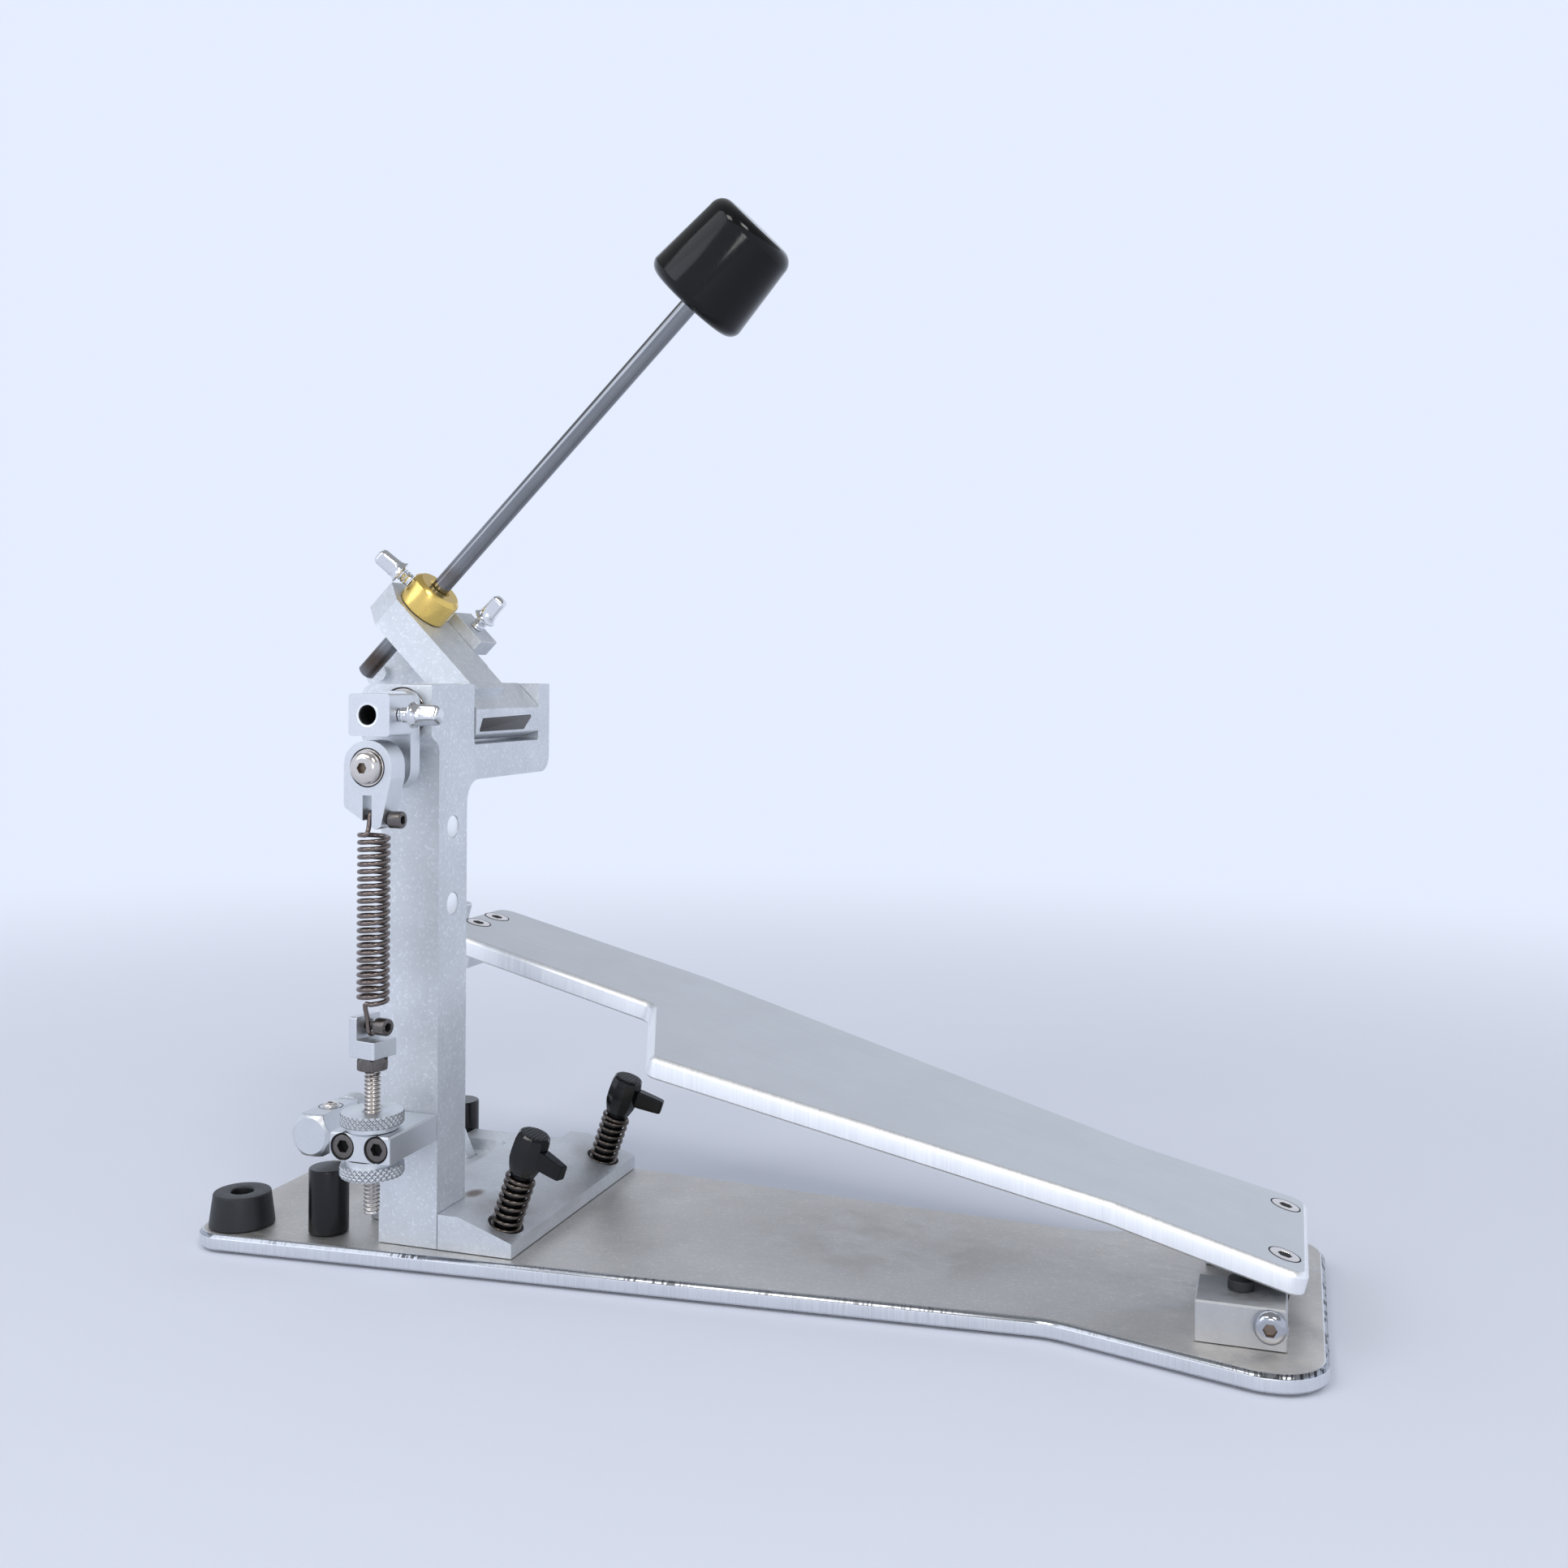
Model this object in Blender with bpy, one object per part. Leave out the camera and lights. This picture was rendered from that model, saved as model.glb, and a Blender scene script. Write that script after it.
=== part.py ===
"""Single bass drum pedal with a direct-drive link, built as separate solids.

Frame: +X runs from the drum to the heel, +Y away from the spring side, +Z up.
The origin lies on the floor straight under the drive shaft, on the centre line
of the base plate.
"""

import math

import bmesh
import bpy
from mathutils import Matrix, Vector

MM = 0.001
GAP = 0.3 * MM
RUN = 0.3 * MM
ARC_STEP = math.radians(15.0)
ROUND = 24

# Base plate and its mat
MAT_T = 1.0 * MM
BASE_T = 6.35 * MM
BASE_TOP = MAT_T + GAP + BASE_T
SEAT = BASE_TOP + GAP
BASE_FRONT_X = -92.0 * MM
BASE_HEEL_X = 338.4 * MM
BASE_FRONT_HW = 72.0 * MM
BASE_WAIST_X = 246.0 * MM
BASE_WAIST_HW = 47.5 * MM
BASE_FLARE_X = 316.0 * MM
BASE_HEEL_HW = 67.0 * MM
BASE_HEEL_TAPER = 1.0 * MM
BASE_HEEL_R = 0.8 * (BASE_HEEL_X - BASE_FLARE_X)
BASE_CHAMFER = 1.4 * MM
MAT_INSET = 4.0 * MM

# Tower: a post on the near side with a fork on top of it, set out from the shaft
SHAFT_Z = 214.35 * MM
WEB_DROP = 13.0 * MM
WEB_T = 14.0 * MM
FORK_RISE = 11.3 * MM
BOSS_DROP = 9.0 * MM
POST_HX = 12.8 * MM
POST_Y0 = -57.0 * MM
POST_Y1 = -35.5 * MM
WEB_Z1 = SHAFT_Z - WEB_DROP
WEB_Z0 = WEB_Z1 - WEB_T
FORK_TOP_Z = SHAFT_Z + FORK_RISE
FORK_IN_Y0 = -30.0 * MM
FORK_IN_Y1 = 26.0 * MM
EAR_Y1 = 36.6 * MM
BOSS_Y0 = -63.0 * MM
BOSS_X0 = -18.0 * MM
BOSS_Z0 = SHAFT_Z - BOSS_DROP
DIMPLE_D = 9.0 * MM
DIMPLE_DEPTH = 0.8 * MM
DIMPLE_ZS = (SHAFT_Z - 44.4 * MM, SHAFT_Z - 74.5 * MM)

# Drive shaft and its bearings
SHAFT_D = 9.5 * MM
SHAFT_Y0 = -76.0 * MM
SHAFT_Y1 = 38.0 * MM
BEARING_D = 20.0 * MM
BEARING_W = 6.0 * MM

# Clamp block: a wedge towards the heel and a low shelf behind the post
WEDGE_TOP = 21.35 * MM
WEDGE_FLAT_X = 22.0 * MM
WEDGE_HEEL_X = 44.8 * MM
WEDGE_HEEL_Z = 13.55 * MM
WEDGE_Y1 = 60.5 * MM
SHELF_X0 = -30.0 * MM
SHELF_Y1 = 50.0 * MM
POCKET_Z = 15.95 * MM
POCKET_X1 = -6.0 * MM
POCKET_Y1 = 37.0 * MM

# Wing screws through the wedge
WING_X = 36.2 * MM
WING_Y = 45.0 * MM
WING_BORE_D = 14.4 * MM
WING_BORE_DEPTH = 3.0 * MM
WING_SCREW_D = 6.0 * MM
WING_SPRING_OD = 12.4 * MM
WING_WIRE = 1.4 * MM
WING_TURNS = 7.5
WING_SPRING_L = 23.0 * MM
KNOB_D = 14.0 * MM
KNOB_L = 17.0 * MM
KNOB_WING_L = 18.0 * MM
KNOB_TURNS = {"near": math.radians(-15.0), "far": math.radians(12.0)}

# Hoop jaws
JAW_X = -44.0 * MM
JAW_Z = 46.35 * MM
JAW_AF = 16.5 * MM
JAW_Y_OUT = 58.0 * MM
JAW_Y_FAR = 51.0 * MM
JAW_ARM_Y = 32.0 * MM
JAW_ARM_T = 7.0 * MM
JAW_ARM_R = 9.4 * MM
JAW_PIVOT_X = -24.0 * MM
JAW_PIVOT_Z = 13.75 * MM
JAW_FOOT_R = 4.6 * MM
JAW_PIN_D = 4.0 * MM
JAW_PIN_OUT = 1.2 * MM

# Rubber bumpers and hoop stops
BUMPER_X = -76.6 * MM
BUMPER_EDGE = 16.0 * MM
BUMPER_Y = BASE_FRONT_HW - BUMPER_EDGE
BUMPER_D0 = 25.6 * MM
BUMPER_D1 = 22.6 * MM
BUMPER_H = 12.8 * MM
BUMPER_HOLE_D = 8.9 * MM
STOP_X = -38.5 * MM
STOP_EDGE = 19.6 * MM
STOP_Y = BASE_FRONT_HW - STOP_EDGE
STOP_D = 15.7 * MM
STOP_TOP = 33.35 * MM

# Heel blocks and the footboard hinge
HINGE_X = 319.6 * MM
HINGE_Z = 15.65 * MM
HINGE_D = 6.35 * MM
HEEL_X0 = 295.2 * MM
HEEL_X1 = 325.1 * MM
HEEL_TOP = 21.65 * MM
HEEL_Y_OUT = 48.7 * MM
HEEL_Y_IN = 24.0 * MM
BUTTON_D = 11.1 * MM
BUTTON_H = 3.2 * MM
PAD_X = 309.8 * MM
PAD_Y = 33.6 * MM
PAD_D = 8.8 * MM
PAD_H = 3.4 * MM

# Footboard, drawn level about its hinge and then tilted
TILT = math.radians(14.6)
BOARD_Z0 = 9.4 * MM
BOARD_T = 8.0 * MM
BOARD_Z1 = BOARD_Z0 + BOARD_T
BOARD_HEEL = 8.5 * MM
BOARD_TOE = -356.7 * MM
BOARD_WAIST = -58.0 * MM
BOARD_STEP_OUT = -229.0 * MM
BOARD_STEP_IN = -253.0 * MM
BOARD_HEEL_HW = 41.0 * MM
BOARD_WAIST_HW = 37.5 * MM
BOARD_WIDE_HW = 60.0 * MM
BOARD_TOE_Y0 = -2.0 * MM
BOARD_CHAMFER = 1.6 * MM
FLAT_HEAD_D = 11.0 * MM
FLAT_SHANK_D = 5.0 * MM
HEEL_SCREW_Y = 26.6 * MM
TOE_SCREW_X = -349.6 * MM
TOE_SCREW_YS = (23.4 * MM, 40.2 * MM)
KNUCKLE_HW = 23.4 * MM
KNUCKLE_X0 = -12.0 * MM
KNUCKLE_X1 = 5.5 * MM
KNUCKLE_Z0 = -6.0 * MM

# Drive link between the lever on the hub and the toe of the footboard
LINK_Y0 = 11.2 * MM
LINK_T = 8.8 * MM
LINK_R = 8.4 * MM
LINK_PLAY = 2.8 * MM
LEVER_PIN_X = -50.0 * MM
LEVER_PIN_RISE = 15.6 * MM
LEVER_PIN_Z = SHAFT_Z + LEVER_PIN_RISE
LEVER_PIN_D = 7.0 * MM
TOE_PIN_X = -381.0 * MM
TOE_PIN_Z = 12.0 * MM
TOE_PIN_D = 6.0 * MM
CHEEK_T = 7.4 * MM
CHEEK_PLAY = 0.6 * MM
BRACKET_Z0 = 3.0 * MM
BRACKET_Z1 = 23.4 * MM
BRACKET_SOLID = 12.0 * MM
BRACKET_LIP = 17.0 * MM
BRACKET_LIP_Y1 = 48.0 * MM

# Hub and beater: the arm frame has x along the rod and z along the arm
LEAN = math.radians(45.0)
HUB_Y0 = FORK_IN_Y0 + 0.6 * MM
HUB_Y1 = FORK_IN_Y1 - 0.6 * MM
HUB_HEEL_X = 13.5 * MM
HUB_R = 12.0 * MM
ARM_Y0 = -25.0 * MM
ARM_Y1 = 2.0 * MM
ARM_E0 = -0.7 * MM
ARM_E1 = 13.9 * MM
ARM_END = 62.0 * MM
ARM_SHOULDER = 51.0 * MM
ARM_CHAMFER_Y = 8.5 * MM
ROD_D = 7.4 * MM
ROD_OFF = 46.0 * MM
ROD_Y = (ARM_Y0 + ARM_Y1) / 2
ROD_E0 = -24.3 * MM
ROD_E1 = 197.0 * MM
HEAD_E0 = 184.0 * MM
HEAD_L = 40.0 * MM
HEAD_D0 = 44.0 * MM
HEAD_D1 = 39.0 * MM
HEAD_ROUND = 6.0 * MM
COLLAR_D = 22.0 * MM
COLLAR_H = 12.0 * MM
COLLAR_SCREW_TURN = math.radians(23.6)

# Lever on the far face of the arm
LEVER_T = 8.0 * MM
LEVER_ROOT = 15.0 * MM
LEVER_TOP_E = 11.0 * MM
LEVER_EDGE = 54.5 * MM
CLAMP_D0 = 22.0 * MM
CLAMP_D1 = 40.0 * MM
CLAMP_E1 = 19.0 * MM
CLAMP_W = 14.0 * MM

# Drum-key screws: square head, flange and threaded shank
KEY_SQUARE = 6.2 * MM
KEY_HEAD_L = 10.5 * MM
KEY_FLANGE_D = 10.0 * MM
KEY_FLANGE_T = 1.6 * MM
KEY_SHANK_D = 6.0 * MM
KEY_SHANK_L = 5.0 * MM

# Coupler and crank on the near end of the shaft
COUPLER_Y0 = -87.0 * MM
COUPLER_Y1 = -72.0 * MM
COUPLER_X0 = -8.0 * MM
COUPLER_X1 = 9.4 * MM
COUPLER_HZ = 7.9 * MM
COUPLER_HOLE_D = 7.6 * MM
CRANK_Y1 = -65.5 * MM
CRANK_R = 19.5 * MM
CRANK_HW = 9.2 * MM
CRANK_PIN_D = 8.0 * MM
CRANK_PIN_PLAY = 1.5 * MM
CRANK_HEAD_D = 12.4 * MM

# Spring lever, tension spring and tensioner
SPRING_Y = -82.0 * MM
LEVER2_T = 9.6 * MM
LEVER2_R = 10.0 * MM
LEVER2_CORNER = 14.8 * MM
LEVER2_TIP = 23.0 * MM
LEVER2_TIP_X0 = 3.6 * MM
LEVER2_TIP_X1 = 5.8 * MM
HOOK_PIN_D = 3.4 * MM
HOOK_PIN_DROP = 19.4 * MM
HOOK_PIN_Z = SHAFT_Z - CRANK_R - HOOK_PIN_DROP
HOOK_SLOT_HW = 1.9 * MM
HOOK_SLOT_TOP = 10.4 * MM
HOOK_HEAD_X = 7.5 * MM
HOOK_SCREW_D = 6.4 * MM
HOOK_SCREW_H = 4.8 * MM
ANCHOR_Z = 98.55 * MM
SPRING_OD = 12.3 * MM
SPRING_WIRE = 1.8 * MM
SPRING_PITCH = 2.73 * MM
HOOK_REACH_LOW = 8.6 * MM
HOOK_REACH_HIGH = 5.4 * MM
COIL_Z0 = ANCHOR_Z + HOOK_REACH_LOW
COIL_Z1 = HOOK_PIN_Z - HOOK_REACH_HIGH
SPRING_TURNS = round((COIL_Z1 - COIL_Z0) / SPRING_PITCH)
CURL_POINTS = 8
CLEVIS_HW = 6.35 * MM
CLEVIS_TURN = math.radians(-11.4)
CLEVIS_WALL_X = -2.2 * MM
CLEVIS_HEAD_X = 2.8 * MM
CLEVIS_Z0 = 87.25 * MM
CLEVIS_Z1 = 102.35 * MM
CLEVIS_SLOT_Z = 93.85 * MM
JAM_AF = 11.0 * MM
JAM_H = 4.6 * MM
TROD_D = 6.35 * MM
TROD_Z0 = 28.85 * MM
TBLOCK_Y0 = -90.8 * MM
TBLOCK_Z0 = 50.05 * MM
TBLOCK_Z1 = 60.05 * MM
TBLOCK_SCREW_X = 7.1 * MM
CAP_HEAD_D = 9.5 * MM
CAP_HEAD_H = 5.0 * MM
CAP_SHANK_D = 4.0 * MM
NUT_D = 24.0 * MM
NUT_H = 6.5 * MM
NUT_BOSS_D = 19.0 * MM
NUT_BOSS_H = 2.0 * MM

METALS = {
    "aluminium": ((0.60, 0.61, 0.63), 1.0, 0.38),
    "steel": ((0.55, 0.55, 0.56), 1.0, 0.25),
    "dark_steel": ((0.10, 0.09, 0.085), 1.0, 0.35),
    "chrome": ((0.75, 0.76, 0.78), 1.0, 0.10),
    "gold": ((0.80, 0.55, 0.14), 1.0, 0.28),
    "black_plastic": ((0.010, 0.010, 0.011), 0.0, 0.25),
    "rubber": ((0.016, 0.016, 0.017), 0.0, 0.70),
}


def material(name, kind):
    """Return a plain Principled material of one kind."""
    rgb, metal, rough = METALS[kind]
    made = bpy.data.materials.new(name)
    made.use_nodes = True
    shader = made.node_tree.nodes["Principled BSDF"]
    shader.inputs["Base Color"].default_value = (*rgb, 1.0)
    shader.inputs["Metallic"].default_value = metal
    shader.inputs["Roughness"].default_value = rough
    return made


def place(name, bm, kind, origin=(0.0, 0.0, 0.0), smooth=True):
    """Turn a closed bmesh into a named object whose origin sits at origin."""
    bmesh.ops.remove_doubles(bm, verts=bm.verts, dist=0.000005)
    bmesh.ops.recalc_face_normals(bm, faces=bm.faces)
    bmesh.ops.translate(bm, verts=bm.verts, vec=-Vector(origin))
    mesh = bpy.data.meshes.new(name)
    bm.to_mesh(mesh)
    bm.free()
    if smooth:
        mesh.polygons.foreach_set("use_smooth", [True] * len(mesh.polygons))
        mesh.set_sharp_from_angle(angle=math.radians(30.0))
    mesh.materials.append(material("mat_" + name, kind))
    made = bpy.data.objects.new(name, mesh)
    made.location = origin
    bpy.context.scene.collection.objects.link(made)
    return made


def boolean(first, second, mode):
    """Join, cut or intersect two closed bmeshes and return the result."""
    pair = []
    for bm in (first, second):
        bmesh.ops.recalc_face_normals(bm, faces=bm.faces)
        mesh = bpy.data.meshes.new("work")
        bm.to_mesh(mesh)
        bm.free()
        made = bpy.data.objects.new("work", mesh)
        bpy.context.scene.collection.objects.link(made)
        pair.append(made)
    step = pair[0].modifiers.new("work", "BOOLEAN")
    step.operation = mode
    step.solver = "EXACT"
    step.object = pair[1]
    bpy.context.view_layer.update()
    graph = bpy.context.evaluated_depsgraph_get()
    done = bpy.data.meshes.new_from_object(pair[0].evaluated_get(graph))
    out = bmesh.new()
    out.from_mesh(done)
    for made in pair:
        bpy.data.objects.remove(made, do_unlink=True)
    bmesh.ops.remove_doubles(out, verts=out.verts, dist=0.000005)
    bmesh.ops.dissolve_limit(
        out, angle_limit=math.radians(0.5), verts=out.verts, edges=out.edges
    )
    return out


def cut(bm, *cutters):
    """Cut every cutter out of a body."""
    for tool in cutters:
        bm = boolean(bm, tool, "DIFFERENCE")
    return bm


def join(bm, *others):
    """Join other bodies to a body."""
    for other in others:
        bm = boolean(bm, other, "UNION")
    return bm


def rounded(corners):
    """Return an outline whose corners (x, y, radius) are turned into arcs."""
    points = []
    count = len(corners)
    for index, (x, y, radius) in enumerate(corners):
        here = Vector((x, y))
        if radius <= 0.0:
            points.append(here)
            continue
        before = Vector(corners[index - 1][:2]) - here
        after = Vector(corners[(index + 1) % count][:2]) - here
        before.normalize()
        after.normalize()
        half = math.acos(max(-1.0, min(1.0, before.dot(after)))) / 2
        reach = radius / math.tan(half)
        centre = here + (before + after).normalized() * (radius / math.sin(half))
        start = here + before * reach - centre
        turn = math.pi - 2 * half
        if before.cross(after) > 0.0:
            turn = -turn
        steps = max(1, math.ceil(abs(turn) / ARC_STEP))
        for step in range(steps + 1):
            angle = turn * step / steps
            spun = Matrix.Rotation(angle, 2) @ start
            points.append(centre + spun)
    return points


def inset(points, distance):
    """Return an outline moved inwards by a distance, corner by corner."""
    area = sum(
        points[i - 1].cross(points[i]) for i in range(len(points))
    )
    side = 1.0 if area > 0.0 else -1.0
    moved = []
    for index, here in enumerate(points):
        into = (here - points[index - 1]).normalized()
        out = (points[(index + 1) % len(points)] - here).normalized()
        first = Vector((-into.y, into.x)) * side
        second = Vector((-out.y, out.x)) * side
        shift = (first + second) / (1.0 + first.dot(second))
        moved.append(here + shift * distance)
    return moved


def loft(rings, closed=False):
    """Bridge rings of equal length; cap the ends, or close the chain."""
    bm = bmesh.new()
    made = [[bm.verts.new(point) for point in ring] for ring in rings]
    spans = list(zip(made[:-1], made[1:]))
    if closed:
        spans.append((made[-1], made[0]))
    count = len(rings[0])
    for low, high in spans:
        for index in range(count):
            after = (index + 1) % count
            bm.faces.new((low[index], low[after], high[after], high[index]))
    if not closed:
        bm.faces.new(list(reversed(made[0])))
        bm.faces.new(made[-1])
    bmesh.ops.recalc_face_normals(bm, faces=bm.faces)
    return bm


def side_prism(points, y0, y1):
    """Extrude an outline drawn in X and Z between two Y values."""
    return loft([[Vector((p.x, y, p.y)) for p in points] for y in (y0, y1)])


def plan_prism(points, z0, z1, chamfer=0.0):
    """Extrude an outline drawn in X and Y, with a chamfer round its top edge."""
    if chamfer <= 0.0:
        return loft([[Vector((p.x, p.y, z)) for p in points] for z in (z0, z1)])
    small = inset(points, chamfer)
    return loft([
        [Vector((p.x, p.y, z0)) for p in points],
        [Vector((p.x, p.y, z1 - chamfer)) for p in points],
        [Vector((p.x, p.y, z1)) for p in small],
    ])


def box(x0, x1, y0, y1, z0, z1):
    """Return a plain box."""
    ring = [Vector(p) for p in ((x0, y0), (x1, y0), (x1, y1), (x0, y1))]
    return plan_prism(ring, z0, z1)


def section(shape, size, count):
    """Return one cross-section: round, square or hexagonal across its flats."""
    half = size / 2
    points = []
    for index in range(count):
        angle = 2 * math.pi * index / count
        if shape == "square":
            reach = half / max(abs(math.cos(angle)), abs(math.sin(angle)))
        elif shape == "hex":
            turn = angle % (math.pi / 3) - math.pi / 6
            reach = half / math.cos(turn)
        else:
            reach = half
        points.append((reach * math.cos(angle), reach * math.sin(angle)))
    return points


def turned(stations, frame, count=ROUND):
    """Loft stations (height, size across, shape) along the z axis of a frame."""
    rings = []
    for height, size, shape in stations:
        flat = section(shape, size, count)
        rings.append([frame @ Vector((x, y, height)) for x, y in flat])
    return loft(rings)


def drum(frame, z0, z1, diameter, count=ROUND):
    """Return a plain cylinder along the z axis of a frame."""
    return turned([(z0, diameter, "round"), (z1, diameter, "round")], frame, count)


def sleeve(stations, frame, count=ROUND):
    """Revolve a closed profile of (height, diameter) round a frame's z axis."""
    rings = []
    for height, diameter in stations:
        flat = section("round", diameter, count)
        rings.append([frame @ Vector((x, y, height)) for x, y in flat])
    return loft(rings, closed=True)


def ring(frame, z0, z1, outer, inner, edge=0.0):
    """Return a flat ring with lightly broken outer edges."""
    return sleeve([
        (z0, inner), (z0, outer - 2 * edge), (z0 + edge, outer),
        (z1 - edge, outer), (z1, outer - 2 * edge), (z1, inner),
    ] if edge > 0.0 else [(z0, inner), (z0, outer), (z1, outer), (z1, inner)], frame)


def at(x, y, z, axis="Z"):
    """Return a frame at a point whose z axis looks along a signed world axis."""
    turns = {
        "Z": Matrix.Identity(4),
        "-Z": Matrix.Rotation(math.pi, 4, "X"),
        "X": Matrix.Rotation(math.pi / 2, 4, "Y"),
        "-X": Matrix.Rotation(-math.pi / 2, 4, "Y"),
        "Y": Matrix.Rotation(-math.pi / 2, 4, "X"),
        "-Y": Matrix.Rotation(math.pi / 2, 4, "X"),
    }
    return Matrix.Translation((x, y, z)) @ turns[axis]


def moved(bm, frame):
    """Move a body by a frame."""
    bmesh.ops.transform(bm, matrix=frame, verts=bm.verts)
    return bm


def curl(name, points, wire, kind, origin):
    """Make one round wire through points and print its least gap to itself."""
    data = bpy.data.curves.new(name, "CURVE")
    data.dimensions = "3D"
    data.bevel_depth = wire / 2
    data.bevel_resolution = 1
    data.use_fill_caps = True
    line = data.splines.new("POLY")
    line.points.add(len(points) - 1)
    for slot, point in zip(line.points, points):
        slot.co = (*(Vector(point) - Vector(origin)), 1.0)
    line.use_smooth = True
    data.materials.append(material("mat_" + name, kind))
    made = bpy.data.objects.new(name, data)
    made.location = origin
    bpy.context.scene.collection.objects.link(made)
    skip = CURL_POINTS // 2 + 1
    least = min(
        (Vector(points[i]) - Vector(points[j])).length
        for i in range(len(points))
        for j in range(i + skip, len(points))
    )
    print(name, "least gap between curls, mm", round((least - wire) / MM, 3))
    return made


def helix(frame, radius, z0, z1, turns, start=0.0):
    """Return points of a helix about the z axis of a frame."""
    count = round(turns * CURL_POINTS)
    points = []
    for index in range(count + 1):
        share = index / count
        angle = start + 2 * math.pi * turns * share
        points.append(frame @ Vector((
            radius * math.cos(angle),
            radius * math.sin(angle),
            z0 + (z1 - z0) * share,
        )))
    return points


def socket_screw(frame, head_d, head_h, shank_d, shank_l, domed):
    """Screw whose head rises along +z from the frame and shank runs along -z."""
    key = head_d * 0.44
    stations = [(-shank_l, shank_d, "round"), (0.0, shank_d, "round")]
    stations.append((0.0, head_d, "round"))
    if domed:
        for share in (0.3, 0.65, 0.9):
            size = head_d * math.sqrt(1.0 - share * share * 0.72)
            stations.append((head_h * share, size, "round"))
        stations.append((head_h, head_d * 0.58, "round"))
    else:
        stations.append((head_h * 0.9, head_d, "round"))
        stations.append((head_h, head_d * 0.92, "round"))
    stations.append((head_h, key, "hex"))
    stations.append((head_h * 0.35, key, "hex"))
    return turned(stations, frame)


def flat_screw(frame, length):
    """Countersunk screw with its flat top at the frame and shank along -z."""
    key = FLAT_HEAD_D * 0.4
    cone = (FLAT_HEAD_D - FLAT_SHANK_D) / 2
    return turned([
        (-length, FLAT_SHANK_D, "round"),
        (-cone, FLAT_SHANK_D, "round"),
        (0.0, FLAT_HEAD_D, "round"),
        (0.0, key, "hex"),
        (-cone * 0.7, key, "hex"),
    ], frame)


def flat_hole(frame, length):
    """Cutter for a countersunk screw, larger by the touching gap."""
    cone = (FLAT_HEAD_D - FLAT_SHANK_D) / 2
    grow = 2 * GAP
    return turned([
        (-length, FLAT_SHANK_D + grow, "round"),
        (-cone - GAP, FLAT_SHANK_D + grow, "round"),
        (-GAP, FLAT_HEAD_D + grow, "round"),
        (1.0 * MM, FLAT_HEAD_D + grow, "round"),
    ], frame)


def key_screw(frame):
    """Drum-key screw: shank at the frame, then flange, square head, rounded tip."""
    flange = KEY_SHANK_L
    head = flange + KEY_FLANGE_T
    return turned([
        (0.0, KEY_SHANK_D, "round"),
        (flange, KEY_SHANK_D, "round"),
        (flange, KEY_FLANGE_D, "round"),
        (head - 0.4 * MM, KEY_FLANGE_D, "round"),
        (head, KEY_FLANGE_D - 1.2 * MM, "round"),
        (head, KEY_SQUARE, "square"),
        (head + KEY_HEAD_L - 1.2 * MM, KEY_SQUARE, "square"),
        (head + KEY_HEAD_L, KEY_SQUARE - 1.8 * MM, "square"),
    ], frame)


def base_outline():
    """Plan of the base plate, mirrored about its centre line."""
    side = [
        (BASE_FRONT_X, BASE_FRONT_HW, 13.0 * MM),
        (BASE_WAIST_X, BASE_WAIST_HW, 30.0 * MM),
        (BASE_FLARE_X, BASE_HEEL_HW, BASE_HEEL_R),
        (BASE_HEEL_X, BASE_HEEL_HW - BASE_HEEL_TAPER, BASE_HEEL_R),
    ]
    near = [(x, -y, r) for x, y, r in side]
    return rounded(near + list(reversed(side)))


def make_base():
    """Base plate and the thin mat under it."""
    outline = base_outline()
    body = plan_prism(outline, MAT_T + GAP, BASE_TOP, BASE_CHAMFER)
    place("base_plate", body, "aluminium")
    place("base_mat", plan_prism(inset(outline, MAT_INSET), 0.0, MAT_T), "rubber")


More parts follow.
